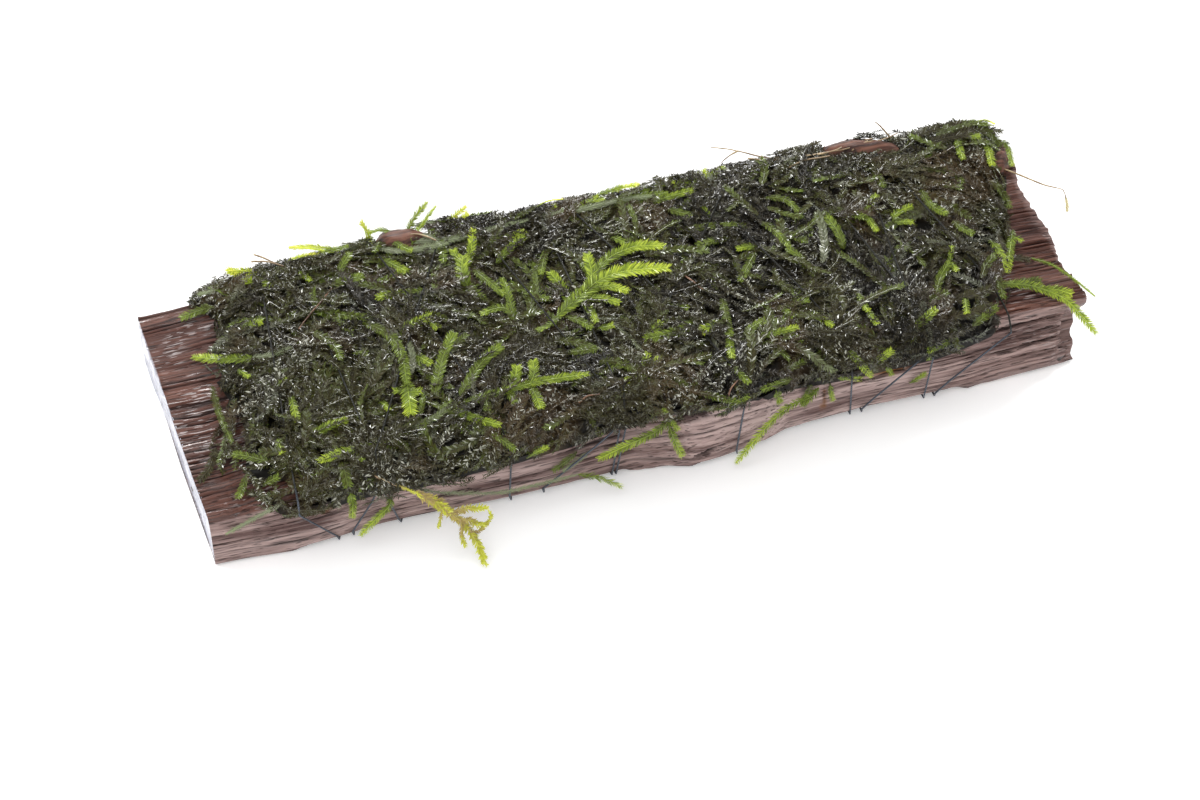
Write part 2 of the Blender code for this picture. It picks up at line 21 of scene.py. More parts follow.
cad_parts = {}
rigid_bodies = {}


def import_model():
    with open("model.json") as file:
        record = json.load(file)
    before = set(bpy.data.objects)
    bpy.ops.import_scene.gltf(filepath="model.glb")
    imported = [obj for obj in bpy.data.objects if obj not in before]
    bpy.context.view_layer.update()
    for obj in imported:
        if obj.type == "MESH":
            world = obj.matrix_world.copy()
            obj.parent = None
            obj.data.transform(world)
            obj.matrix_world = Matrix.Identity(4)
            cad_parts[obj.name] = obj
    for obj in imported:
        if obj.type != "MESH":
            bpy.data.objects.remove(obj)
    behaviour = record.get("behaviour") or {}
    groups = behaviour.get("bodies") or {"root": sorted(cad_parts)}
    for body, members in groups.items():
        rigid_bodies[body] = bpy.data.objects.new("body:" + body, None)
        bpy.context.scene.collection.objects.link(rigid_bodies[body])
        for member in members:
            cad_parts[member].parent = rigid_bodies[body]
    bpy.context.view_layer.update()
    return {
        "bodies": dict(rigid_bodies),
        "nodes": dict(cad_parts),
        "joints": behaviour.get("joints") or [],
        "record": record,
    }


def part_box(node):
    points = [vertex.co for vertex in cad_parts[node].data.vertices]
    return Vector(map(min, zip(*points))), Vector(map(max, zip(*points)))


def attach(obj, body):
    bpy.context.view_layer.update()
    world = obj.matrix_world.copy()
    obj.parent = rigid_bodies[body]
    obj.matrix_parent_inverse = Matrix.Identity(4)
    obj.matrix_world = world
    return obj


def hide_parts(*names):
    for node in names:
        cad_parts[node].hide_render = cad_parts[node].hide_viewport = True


LOG = logging.getLogger("java_moss")
MM = 0.001

Place = tuple[float, float]
Triple = tuple[float, float, float]
Route = tuple[Triple, ...]
Colour = tuple[float, float, float, float]
Stops = tuple[tuple[float, Colour], ...]


# Helpers for nodes

@dataclass
class Socket:
    """One output of a node. Python's operators on it add Math nodes."""

    kit: "NodeKit"
    socket: NodeSocket

    def _math(self, operation: str, first: "Socket | float", second: "Socket | float") -> "Socket":
        """Add one Math node."""
        return self.kit.add("ShaderNodeMath", {"operation": operation}, {0: first, 1: second})

    def __add__(self, other: "Socket | float") -> "Socket":
        """Sum, on either side."""
        return self._math("ADD", self, other)

    def __sub__(self, other: "Socket | float") -> "Socket":
        """Difference."""
        return self._math("SUBTRACT", self, other)

    def __rsub__(self, other: float) -> "Socket":
        """Difference with a number on the left."""
        return self._math("SUBTRACT", other, self)

    def __mul__(self, other: "Socket | float") -> "Socket":
        """Product, on either side."""
        return self._math("MULTIPLY", self, other)

    __radd__ = __add__
    __rmul__ = __mul__


@dataclass
class NodeKit:
    """Adds nodes to one tree, a material's or a geometry tree."""

    tree: NodeTree

    def add(self, kind: str, settings: dict | None = None, inputs: dict | None = None,
            output: int | str = 0) -> Socket:
        """Add a node.

        Args:
            kind: the node's type name.
            settings: its own properties, set first; "stops" are a colour ramp's.
            inputs: values or links of its sockets, by name or number.
            output: the output to return, by name or number.

        Returns:
            The chosen output.
        """
        node = self.tree.nodes.new(kind)
        for name, value in (settings or {}).items():
            if name == "stops":
                self._set_stops(node.color_ramp, value)
            else:
                setattr(node, name, value)
        for name, value in (inputs or {}).items():
            for single in value if isinstance(value, list) else [value]:
                if isinstance(single, Socket):
                    self.tree.links.new(single.socket, node.inputs[name])
                else:
                    node.inputs[name].default_value = single
        return Socket(self, node.outputs[output])

    @staticmethod
    def _set_stops(ramp: ColorRamp, stops: Stops) -> None:
        """Give a colour ramp its stops.

        Args:
            ramp: the colour ramp.
            stops: position and colour of each stop.
        """
        while len(ramp.elements) < len(stops):
            ramp.elements.new(0.5)
        for element, (position, colour) in zip(ramp.elements, stops):
            element.position = position
            element.color = colour

    def attribute(self, name: str) -> Socket:
        """Read one attribute of the piece."""
        return self.add("ShaderNodeAttribute", {"attribute_name": name}, output="Fac")

    def noise(self, scale: Triple | float, detail: float = 2.0, roughness: float = 0.5) -> Socket:
        """Noise in the object's own space.

        Args:
            scale: how many grains go to a metre along x, y and z, or along each of them.
            detail: octaves.
            roughness: strength of the finer octaves.

        Returns:
            The noise, around 0.5.
        """
        place = self.add("ShaderNodeTexCoord", output="Object")
        grains = scale if isinstance(scale, tuple) else (scale,) * 3
        place = self.add("ShaderNodeMapping", {}, {"Vector": place, "Scale": grains})
        return self.add("ShaderNodeTexNoise", {},
                        {"Vector": place, "Scale": 1.0, "Detail": detail, "Roughness": roughness},
                        "Fac")

    def ramp(self, value: Socket, *stops: tuple[float, Colour]) -> Socket:
        """Colours along a value."""
        return self.add("ShaderNodeValToRGB", {"stops": stops}, {"Fac": value}, "Color")

    def mix(self, share: Socket | float, first: Socket | Colour, second: Socket | Colour) -> Socket:
        """Blend of two colours."""
        return self.add("ShaderNodeMix", {"data_type": "RGBA"}, {0: share, 6: first, 7: second}, 2)

    def between(self, value: Socket, low: float, high: float) -> Socket:
        """0 below low and 1 above high, eased in between."""
        return self.add("ShaderNodeMapRange", {"interpolation_type": "SMOOTHSTEP"},
                        {"Value": value, "From Min": low, "From Max": high}, "Result")

    def bump(self, height: Socket, depth: float) -> Socket:
        """Normal from a height that is depth metres at 1."""
        return self.add("ShaderNodeBump", {}, {"Height": height, "Distance": depth}, "Normal")


def grey(level: float) -> Colour:
    """A neutral colour."""
    return (level, level, level, 1.0)


def principled(name: str, fixed: dict) -> tuple[Material, NodeKit, Node]:
    """New material with a Principled shader.

    Args:
        name: the material's name.
        fixed: values set on the shader's own sockets.

    Returns:
        The material, a kit for its tree, and the shader node.
    """
    material = bpy.data.materials.new(name)
    material.use_nodes = True
    shader = material.node_tree.nodes["Principled BSDF"]
    for socket, value in fixed.items():
        shader.inputs[socket].default_value = value
    return material, NodeKit(material.node_tree), shader


def drive(kit: NodeKit, shader: Node, links: dict[str, Socket]) -> None:
    """Link values to the shader's sockets."""
    for name, value in links.items():
        kit.tree.links.new(value.socket, shader.inputs[name])


# Finishes. The numbers of grains go to a metre, and the shares from 0 to 1.

@dataclass(frozen=True)
class WoodFinish:
    """Wet red-brown driftwood, paler and purplish on the front face as painted sheen, pale on the sawn
    end.
    """

    dark: Colour = (0.026, 0.0105, 0.0085, 1.0)
    middle: Colour = (0.082, 0.029, 0.019, 1.0)
    light: Colour = (0.180, 0.074, 0.050, 1.0)
    # The front face's ramp, drawn paler and purplish as painted sheen
    face_dark: Colour = (0.120, 0.070, 0.064, 1.0)
    face_light: Colour = (0.470, 0.345, 0.320, 1.0)
    # Near-black painted shade for grooves, clefts and pits
    cleft: Colour = (0.014, 0.0060, 0.005, 1.0)
    stain: Colour = (0.240, 0.095, 0.025, 1.0)
    sawn: Colour = (0.560, 0.570, 0.640, 1.0)
    # Pale colour painted on the top as wet glints along the grain
    glint: Colour = (0.620, 0.560, 0.550, 1.0)
    grain_depth: float = 0.75 * MM

    def make(self) -> Material:
        """Build the material.

        Returns:
            The material. It reads the attributes cavity (painted shade), face (painted sheen), sawn and
            stain.
        """
        material, kit, shader = principled("wet_driftwood_grain", {
            "Metallic": 0.0, "Specular IOR Level": 0.20, "Coat Roughness": 0.08, "Coat IOR": 1.40})
        face, cavity = kit.attribute("face"), kit.attribute("cavity")
        grain = kit.noise((42, 900, 900), 4.0, 0.65)
        streak = kit.noise((18, 380, 380), 3.0, 0.60)
        patch = kit.noise((22, 50, 50), 3.0, 0.55)
        # Fine pits along the grain, darkened with the painted shade colour
        pore = kit.between(kit.noise((210, 2600, 2600)), 0.58, 0.68)
        tone = grain * 0.70 + streak * 0.75 + patch * 0.35 - 0.40
        top = kit.ramp(tone, (0.25, self.dark), (0.50, self.middle), (0.80, self.light))
        # Painted sheen: the front face takes the paler, purplish ramp.
        side = kit.ramp(tone, (0.32, self.face_dark), (0.60, self.face_light))
        # Painted highlights: short pale dashes along the grain on the top, in patches, stand for wet
        # glints.
        glint_dash = kit.between(kit.noise((300, 2200, 2200), 1.0), 0.585, 0.63) * (1.0 - face)
        painted_glint_zone = kit.between(kit.noise((60, 70, 70)), 0.44, 0.60)
        colour = kit.mix(face, top, side)
        # Stains are the wood's own; pits, grooves and clefts get painted shade; dashes get painted
        # glints.
        for share, layer in ((kit.attribute("stain"), self.stain), (pore * 0.60, self.cleft),
                             (kit.between(cavity, 0.10, 0.90) * 0.86, self.cleft),
                             (glint_dash * painted_glint_zone * (1.0 - cavity) * 0.5, self.glint),
                             (kit.attribute("sawn") * 0.9, self.sawn)):
            colour = kit.mix(share, colour, layer)
        height = grain * 0.60 + streak * 0.3 - pore * 0.5
        drive(kit, shader, {
            "Base Color": colour,
            "Roughness": 0.40 + grain * 0.25 + face * 0.15,
            "Coat Weight": kit.between(streak, 0.40, 0.62) * (0.9 - face * 0.45),
            "Normal": kit.bump(height, self.grain_depth),
        })
        return material


@dataclass(frozen=True)
class MossFinish:
    """Moss whose colour follows the attributes tint, pale, blade, shade and bark; painted glints are
    flecked onto scattered leaves.
    """

    name: str
    stops: Stops
    # Grey-green of ghost and a few stray shoots, partly their own colour and partly painted sheen of wet
    # strands
    pale: Colour = (0.300, 0.330, 0.230, 1.0)
    bark: Colour = (0.150, 0.066, 0.044, 1.0)
    bark_dark: Colour = (0.022, 0.010, 0.008, 1.0)
    rust: Colour = (0.075, 0.046, 0.020, 1.0)
    # Pale colour painted on scattered leaves as wet glints, and its strength.
    fleck: Colour = (0.480, 0.480, 0.400, 1.0)
    flecks: float = 0.78
    wet: float = 1.0
    tips: float = 0.05
    gloss: float = 0.48
    speck_depth: float = 0.06 * MM

    def make(self) -> Material:
        """Build the material.

        Returns:
            The material.
        """
        material, kit, shader = principled(self.name, {
            "Metallic": 0.0, "Specular IOR Level": 0.15, "Coat Roughness": 0.09, "Coat IOR": 1.55})
        given, shade, blade = (kit.attribute(name) for name in ("tint", "shade", "blade"))
        clump, speck = kit.noise(110), kit.noise(900, 1.0)
        tint = given + (clump - 0.5) * 0.12 + (speck - 0.5) * 0.14
        tint = tint + (shade - 0.5) * 0.22 + blade * self.tips
        dark = 1.0 - kit.between(given, 0.30, 0.42)
        rusty = kit.between(kit.noise(60), 0.52, 0.66) * dark
        # Painted highlights: in patches, random dark leaves get the pale glint colour over all but their
        # base.
        painted_glint_zone = kit.between(kit.noise(75), 0.50, 0.62)
        fleck = kit.between(shade, 0.83, 0.86) * kit.between(blade, 0.02, 0.05) * painted_glint_zone * dark
        grain = kit.noise((45, 800, 800), 4.0, 0.62)
        colour = kit.ramp(tint, *self.stops)
        for share, layer in ((kit.attribute("pale"), self.pale), (rusty * 0.55, self.rust),
                             (fleck * self.flecks, self.fleck),
                             (kit.attribute("bark"),
                              kit.ramp(grain, (0.38, self.bark_dark), (0.62, self.bark)))):
            colour = kit.mix(share, colour, layer)
        drive(kit, shader, {
            "Base Color": colour,
            "Roughness": self.gloss + (speck - 0.5) * 0.3,
            "Coat Weight": kit.between(clump * 0.6 + shade * 0.4, 0.44, 0.58) * self.wet,
            "Normal": kit.bump(speck, self.speck_depth),
        })
        return material


@dataclass(frozen=True)
class StemFinish:
    """Bare wiry stem, mottled from dark to light."""

    name: str
    dark: Colour
    light: Colour
    knot_depth: float = 0.1 * MM

    def make(self) -> Material:
        """Build the material.

        Returns:
            The material.
        """
        material, kit, shader = principled(self.name, {"Coat Roughness": 0.2, "Coat Weight": 0.4})
        knots = kit.noise(420, 3.0)
        drive(kit, shader, {
            "Base Color": kit.ramp(knots, (0.35, self.dark), (0.62, self.light)),
            "Roughness": 0.35 + knots * 0.3,
            "Normal": kit.bump(knots, self.knot_depth),
        })
        return material


@dataclass(frozen=True)
class ThreadFinish:
    """Dull slate thread with the painted fine shine of its twist, painted near black as shade where it
    lies in the moss.
    """

    dark: Colour = (0.022, 0.026, 0.034, 1.0)
    light: Colour = (0.120, 0.135, 0.165, 1.0)
    # Near-black painted shade where the thread lies in the moss, between these heights.
    muddy: Colour = (0.010, 0.010, 0.007, 1.0)
    muddy_heights: Place = (0.0165, 0.0195)
    twists: float = 1300.0
    twist_depth: float = 0.05 * MM

    def make(self) -> Material:
        """Build the material.

        Returns:
            The material.
        """
        material, kit, shader = principled("slate_thread_twist", {"Specular IOR Level": 0.25})
        place = kit.add("ShaderNodeTexCoord", output="Object")
        twist = kit.add("ShaderNodeTexWave", {"wave_type": "BANDS", "bands_direction": "DIAGONAL"},
                        {"Vector": place, "Scale": self.twists, "Distortion": 1.5}, "Fac")
        wear = kit.noise(160)
        height = kit.add("ShaderNodeSeparateXYZ", {}, {"Vector": place}, "Z")
        # Painted shine and shade along the twist's bands, mixed with wear.
        colour = kit.ramp(twist * 0.5 + wear * 0.5, (0.3, self.dark), (0.75, self.light))
        # Painted shade: near black above these heights, where the thread lies in the moss.
        muddy = kit.between(height, *self.muddy_heights)
        drive(kit, shader, {
            "Base Color": kit.mix(muddy, colour, self.muddy),
            "Roughness": 0.38 + wear * 0.25,
            "Normal": kit.bump(twist, self.twist_depth),
        })
        return material


MOSS_STOPS = (
    (0.00, (0.0040, 0.0032, 0.0018, 1.0)), (0.16, (0.0200, 0.0155, 0.0055, 1.0)),
    (0.32, (0.0420, 0.0375, 0.0090, 1.0)), (0.48, (0.0640, 0.0810, 0.0100, 1.0)),
    (0.64, (0.1450, 0.2050, 0.0200, 1.0)), (0.80, (0.3300, 0.4200, 0.0320, 1.0)),
    (0.92, (0.5600, 0.6500, 0.0480, 1.0)), (1.00, (0.8000, 0.8000, 0.1000, 1.0)),
)
GOLD_STOPS = (
    (0.00, (0.1600, 0.0900, 0.0420, 1.0)), (0.22, (0.3600, 0.2600, 0.1300, 1.0)),
    (0.45, (0.4300, 0.3500, 0.1000, 1.0)), (0.62, (0.4400, 0.4400, 0.0500, 1.0)),
    (0.80, (0.6000, 0.6300, 0.0600, 1.0)), (1.00, (0.8200, 0.8000, 0.3400, 1.0)),
)


class Finishes:
    """The object's materials, each made once."""

    def __init__(self) -> None:
        """Make them all."""
        tan = ((0.16, 0.090, 0.040, 1.0), (0.42, 0.31, 0.17, 1.0))
        brown = ((0.06, 0.025, 0.014, 1.0), (0.24, 0.12, 0.060, 1.0))
        straw = (0.60, 0.50, 0.30, 1.0)
        self.wood = WoodFinish().make()
        self.moss = MossFinish("wet_moss", MOSS_STOPS).make()
        self.fresh = MossFinish("fresh_moss_leaf", MOSS_STOPS, wet=0.40, tips=0.17).make()
        self.gold = MossFinish("golden_moss_leaf", GOLD_STOPS, straw, wet=0.5, tips=0.16).make()
        self.stem = StemFinish("tan_stem", *tan).make()
        self.root = StemFinish("brown_root", *brown).make()
        self.thread = ThreadFinish().make()


# Places

@dataclass(frozen=True)
class Viewpoint:
    """The camera of the reference view, fitted to the block's corners."""

    azimuth: float = -16.137
    elevation: float = 47.333
    distance: float = 0.58702
    target: Triple = (-0.00941, -0.01805, 0.010)
    frame: tuple[int, int] = (1200, 800)
    focal: float = 2800.0
    sensor: float = 36.0
    clip: Place = (0.01, 20.0)

    @property
    def back(self) -> Vector:
        """Direction from the target to the camera."""
        turn, rise = math.radians(self.azimuth), math.radians(self.elevation)
        return Vector((math.sin(turn) * math.cos(rise), -math.cos(turn) * math.cos(rise),
                       math.sin(rise)))

    @property
    def eye(self) -> Vector:
        """Where the camera stands."""
        return Vector(self.target) + self.back * self.distance

    @property
    def sides(self) -> tuple[Vector, Vector]:
        """The view's right and upward directions."""
        right = (-self.back).cross(Vector((0, 0, 1))).normalized()
        return right, right.cross(-self.back)

    def ray(self, place: Place) -> Vector:
        """Direction from the camera through a place in the reference view.

        Args:
            place: x and y in the view's own frame of pixels.

        Returns:
            The unit direction.
        """
        right, upward = self.sides
        across = (place[0] - self.frame[0] / 2) / self.focal
        down = (place[1] - self.frame[1] / 2) / self.focal
        return (-self.back + right * across - upward * down).normalized()

    def place(self, point: Vector) -> Place:
        """Where a point shows in the reference view.

        Args:
            point: a point in space.

        Returns:
            x and y in the view's own frame of pixels.
        """
        right, upward = self.sides
        offset = point - self.eye
        depth = offset.dot(-self.back)
        return (self.frame[0] / 2 + self.focal * offset.dot(right) / depth,
                self.frame[1] / 2 - self.focal * offset.dot(upward) / depth)

    def make_camera(self) -> None:
        """Create the camera and set it as the scene's."""
        data = bpy.data.cameras.new("reference_camera")
        data.sensor_width = self.sensor
        data.lens = self.focal * self.sensor / self.frame[0]
        data.clip_start, data.clip_end = self.clip
        camera = put("reference_camera", data)
        camera.location = self.eye
        camera.rotation_mode = "QUATERNION"
        camera.rotation_quaternion = (-self.back).to_track_quat("-Z", "Y")
        bpy.context.scene.camera = camera


class Skin:
    """The outside of some CAD nodes, for finding places on them."""

    def __init__(self, *nodes: Object) -> None:
        """Gather the nodes' faces.

        Args:
            nodes: the CAD nodes.
        """
        corners: list[Vector] = []
        faces: list[list[int]] = []
        for node in nodes:
            start = len(corners)
            corners += [vert.co.copy() for vert in node.data.vertices]
            faces += [[start + index for index in face.vertices] for face in node.data.polygons]
        self.tree = BVHTree.FromPolygons(corners, faces)

    def cast(self, origin: Vector, direction: Vector) -> tuple[Vector, Vector] | None:
        """First place that a ray meets, with its normal, or None."""
        place, normal, _, _ = self.tree.ray_cast(origin, direction)
        return None if place is None else (place, normal)

    def nearest(self, point: Vector) -> tuple[Vector, Vector, float]:
        """Nearest place, its normal and how far it is."""
        place, normal, _, away = self.tree.find_nearest(point)
        return place, normal, away


class SmoothNoise:
    """Repeatable noise from -1 to 1 over points, for shapes made in arrays."""

    def __init__(self, seed: int) -> None:
        """Choose the pattern by a whole number."""
        self.seed = np.uint32(seed * 2654435 + 97)

    def _corner(self, cell: np.ndarray) -> np.ndarray:
        """Value at whole-number corners, from an integer hash.

        Args:
            cell: rows of three whole numbers.

        Returns:
            One value from -1 to 1 for each row.
        """
        with np.errstate(over="ignore"):
            mixed = (cell[:, 0] * np.uint32(374761393) + cell[:, 1] * np.uint32(668265263)
                     + cell[:, 2] * np.uint32(2246822519) + self.seed)
            mixed = (mixed ^ (mixed >> np.uint32(13))) * np.uint32(1274126177)
            mixed = mixed ^ (mixed >> np.uint32(16))
        return (mixed & np.uint32(65535)).astype(float) / 32767.5 - 1

    def at(self, points: np.ndarray, *size: float) -> np.ndarray:
        """Noise at points.

        Args:
            points: rows of x, y and z.
            size: the grain's size along x, y and z, or one size for all three.

        Returns:
            One value for each point.
        """
        scaled = points / np.array(size) + 1000
        low = np.floor(scaled)
        share = scaled - low
        share = share * share * (3 - 2 * share)
        cell = low.astype(np.int64).astype(np.uint32)
        total = np.zeros(len(points))
        for corner in range(8):
            step = np.array([corner & 1, corner >> 1 & 1, corner >> 2 & 1])
            weight = np.prod(np.where(step, share, 1 - share), axis=1)
            total += weight * self._corner(cell + step.astype(np.uint32))
        return total

    def at_one(self, x: float, y: float, *size: float) -> float:
        """Noise at one place of a plan, for a grain of two sizes."""
        return float(self.at(np.array([[x, y, 0.0]]), *size, 1.0)[0])


def smooth_step(value: np.ndarray, low: float, high: float) -> np.ndarray:
    """0 below low, 1 above high, eased in between."""
    share = np.clip((value - low) / (high - low), 0, 1)
    return share * share * (3 - 2 * share)


def smooth_rows(rows: np.ndarray, passes: int) -> np.ndarray:
    """Average rows with their neighbours.

    Args:
        rows: the rows. The first and the last are held.
        passes: how often to average them.

    Returns:
        The smoother rows.
    """
    for _ in range(passes):
        inner = (rows[:-2] + 2 * rows[1:-1] + rows[2:]) / 4
        rows = np.vstack((rows[:1], inner, rows[-1:]))
    return rows


def smooth_route(points: np.ndarray, count: int) -> np.ndarray:
    """A smooth curve through some points.

    Args:
        points: rows of coordinates, two or more.
        count: how many points to return.

    Returns:
        Evenly parted points on the curve.
    """
    points = np.asarray(points, float)
    padded = np.vstack((2 * points[0] - points[1], points, 2 * points[-1] - points[-2]))
    places = np.linspace(0, len(points) - 1, count)
    start = np.minimum(places.astype(int), len(points) - 2)
    share = (places - start)[:, None]
    a, b, c, d = (padded[start + offset] for offset in range(4))
    return 0.5 * (2 * b + (c - a) * share + (2 * a - 5 * b + 4 * c - d) * share ** 2
                  + (3 * b - a - 3 * c + d) * share ** 3)


def put(name: str, data: ID) -> Object:
    """Put an object into the scene, at the origin.

    Args:
        name: the object's name.
        data: its mesh, curve, light or camera.

    Returns:
        The object.
    """
    item = bpy.data.objects.new(name, data)
    bpy.context.scene.collection.objects.link(item)
    return item


def finished(data: Mesh, finish: Material) -> Mesh:
    """Shade a mesh smooth, with one material alone.

    Args:
        data: the mesh.
        finish: the material.

    Returns:
        The same mesh.
    """
    data.materials.clear()
    data.materials.append(finish)
    data.shade_smooth()
    return data


def set_values(data: Mesh, name: str, values: np.ndarray) -> None:
    """Write one number for each corner point as an attribute."""
    attribute = data.attributes.new(name, "FLOAT", "POINT")
    attribute.data.foreach_set("value", np.asarray(values, np.float32))


def declare(piece: Object, slot: str, *nodes: str) -> None:
    """Tell the frame what a piece rides on and stands for: hang it on the root body and hide the CAD
    nodes that it replaces.

    Args:
        piece: the piece.
        slot: not used.
        nodes: the CAD nodes that it replaces.
    """
    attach(piece, "root")
    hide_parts(*nodes)
    LOG.info("%s: %d faces", piece.name, len(piece.data.polygons))


# Driftwood

@dataclass(frozen=True)
class Hollow:
    """A cleft or hole in the front face, along the grain."""

    x: float
    z: float
    half_length: float
    half_height: float
    depth: float
    stain: float = 0.0


@dataclass
class Driftwood:
    """The block, with its open grain, clefts, sawn left end and torn right end.

    Rays from a flat core inside the block find its outline at each station along it.
    """

    stations: int = 256
    half_depth: float = 0.030
    core_half_depth: float = 0.022
    core_level: float = 0.009
    nominal_height: float = 0.018
    top_step: float = 0.00028
    front_step: float = 0.00024
    back_step: float = 0.00060
    under_step: float = 0.00150
    inside: float = 0.085
    margin: float = 0.0008
    cap_relief: float = 0.003
    rings: tuple[float, ...] = (0.03, 0.08, 0.15, 0.24, 0.34, 0.45, 0.57, 0.70, 0.83, 0.94)
    groove_period: float = 0.00155
    hair_period: float = 0.00090
    groove_depth: float = 0.00048
    hair_depth: float = 0.00022
    swell: float = 0.00040
    torn_from: float = 0.0935
    tear_depth: float = 0.0013
    tear_reach: float = 0.005
    fibre_depth: float = 0.0004
    saw_depth: float = 0.00012
    lowest: float = 0.00002
    sharp_angle: float = math.radians(55)
    hollows: tuple[Hollow, ...] = (
        Hollow(0.0068, 0.0159, 0.0038, 0.0013, 0.0022),
        Hollow(0.0038, 0.0149, 0.0030, 0.0008, 0.0016),
        Hollow(0.0093, 0.0042, 0.0026, 0.0009, 0.0014),
        Hollow(-0.0060, 0.0100, 0.0070, 0.0004, 0.0009),
        Hollow(-0.0165, 0.0112, 0.0085, 0.0005, 0.0009),
        Hollow(-0.0445, 0.0060, 0.0050, 0.0005, 0.0010),
        Hollow(0.0531, 0.0120, 0.0050, 0.0014, 0.0008, 1.0),
        Hollow(0.0365, 0.0078, 0.0006, 0.0036, 0.0001, 0.7),
        Hollow(-0.0710, 0.0102, 0.0012, 0.0008, 0.0010, 1.0),
        Hollow(-0.0949, 0.0148, 0.0014, 0.0012, 0.0001, 1.0),
        Hollow(0.0860, 0.0135, 0.0120, 0.0005, 0.0014),
        Hollow(0.0840, 0.0100, 0.0100, 0.0005, 0.0012),
        Hollow(0.0870, 0.0060, 0.0080, 0.0004, 0.0010),
        Hollow(0.0800, 0.0165, 0.0130, 0.0005, 0.0013),
    )

    def _targets(self) -> np.ndarray:
        """Lay points round a nominal section, evenly spread over each side.

        Returns:
            Rows of (y, z).
        """
        half, height = self.half_depth, self.nominal_height
        corners = np.array(((half, 0.0), (half, height), (-half, height), (-half, 0.0)))
        steps = (self.back_step, self.top_step, self.front_step, self.under_step)
        places = []
        for start, end, step in zip(corners, np.roll(corners, -1, 0), steps):
            count = round(float(np.linalg.norm(end - start)) / step)
            places.append(start + (end - start) * (np.arange(count) / count)[:, None])
        return np.concatenate(places)

    def _outline(self, skin: Skin, x: np.ndarray, targets: np.ndarray, limits: np.ndarray
                 ) -> tuple[np.ndarray, np.ndarray]:
        """One loop round the block, found by rays from its core.

        Args:
            skin: the CAD block.
            x: where each of the loop's points lies along the block.
            targets: nominal (y, z) of each point.
            limits: lowest and highest x of each point's own core.

        Returns:
            The loop's points and its core's points.
        """
        cuts = np.clip(x, limits[0], limits[1])
        loop, cores = [], []
        inner = Vector((float(cuts.mean()), 0.0, self.nominal_height / 3))
        top = skin.cast(inner, Vector((0, 0, 1)))[0].z
        for along, cut, (y, z) in zip(x, cuts, targets):
            side = min(max(y, -self.core_half_depth), self.core_half_depth)
            aim = Vector((0.0, y - side, z * top / self.nominal_height - top / 2)).normalized()
            hit = None
            while hit is None:
                hit = skin.cast(Vector((cut, side, top / 2)), aim)
                cut *= 0.995
            loop.append((along, hit[0].y, hit[0].z))
            cores.append((along, side, top / 2))
        return np.array(loop), np.array(cores)

    def _end(self, skin: Skin, places: np.ndarray, side: int) -> np.ndarray:
        """Find the block's end straight out from some places.

        Args:
            skin: the CAD block.
            places: rows of (y, z).
            side: -1 for the sawn end, 1 for the torn end.

        Returns:
            x of the end at each place.
        """
        found = []
        for y, z in places:
            hit = skin.cast(Vector((side * self.inside, y, z)), Vector((side, 0, 0)))
            found.append(math.nan if hit is None else hit[0].x)
        found = np.array(found)
        known = np.flatnonzero(~np.isnan(found))
        return np.interp(np.arange(len(found)), known, found[known], period=len(found))

    def _tear(self, points: np.ndarray) -> np.ndarray:
        """How far the torn end's fibres stand out, in steps.

        Args:
            points: rows of x, y and z.

        Returns:
            The distance along x at each point.
        """
        rough = SmoothNoise(11).at(points, 1.0, 0.0075, 0.0021)
        fibre = SmoothNoise(12).at(points, 1.0, 0.0012, 0.0006)
        steps = np.round(rough * 2.4) / 2.4
        return self.tear_depth * (0.45 * steps + 0.25 * rough) + self.fibre_depth * fibre

    def _lines(self, x: np.ndarray, across: np.ndarray, period: float, seed: int) -> np.ndarray:
        """Draw long wavy lines along the block.

        Args:
            x: where each point lies along the block.
            across: how far round its loop it lies.
            period: the distance between lines.
            seed: for the lines' waves and gaps.

        Returns:
            1 in each line's middle, and 0 between lines.
        """
        spot = np.column_stack((x, across, np.zeros(len(x))))
        phase = (across / period + 1.3 * SmoothNoise(seed).at(spot, 0.045, 0.009, 1.0)
                 + 0.45 * SmoothNoise(seed + 1).at(spot, 0.013, 0.004, 1.0))
        line = np.abs(phase - np.floor(phase) - 0.5) * 2
        fade = smooth_step(SmoothNoise(seed + 2).at(spot, 0.016, period * 0.9, 1.0), -0.55, 0.45)
        return smooth_step(line, 0.52, 0.96) * fade

    def _relief(self, grid: np.ndarray, across: np.ndarray, normal: np.ndarray
                ) -> tuple[np.ndarray, ...]:
        """Height over the plain block, and what the finish reads: cavity, the painted shade of grooves
        and clefts; face, the front face that is painted with sheen; and stain.

        Args:
            grid: the surface's points.
            across: how far round its loop each point lies.
            normal: the outward direction at each point.

        Returns:
            Height, cavity, face and stain at each point.
        """
        x = grid[:, 0]
        # This marks the front face, which the finish paints paler as sheen.
        front = smooth_step(-normal[:, 1], 0.35, 0.8)
        torn = 1 + 1.2 * np.exp(-(0.097 - x) / 0.014)
        broad = SmoothNoise(2).at(grid, 0.040, 0.007, 0.007)
        groove = self._lines(x, across, self.groove_period, 40)
        hair = self._lines(x, across, self.hair_period, 44)
        height = (self.swell * broad - self.groove_depth * groove * torn * (1 - 0.25 * front)
                  - self.hair_depth * hair * torn ** 0.5)
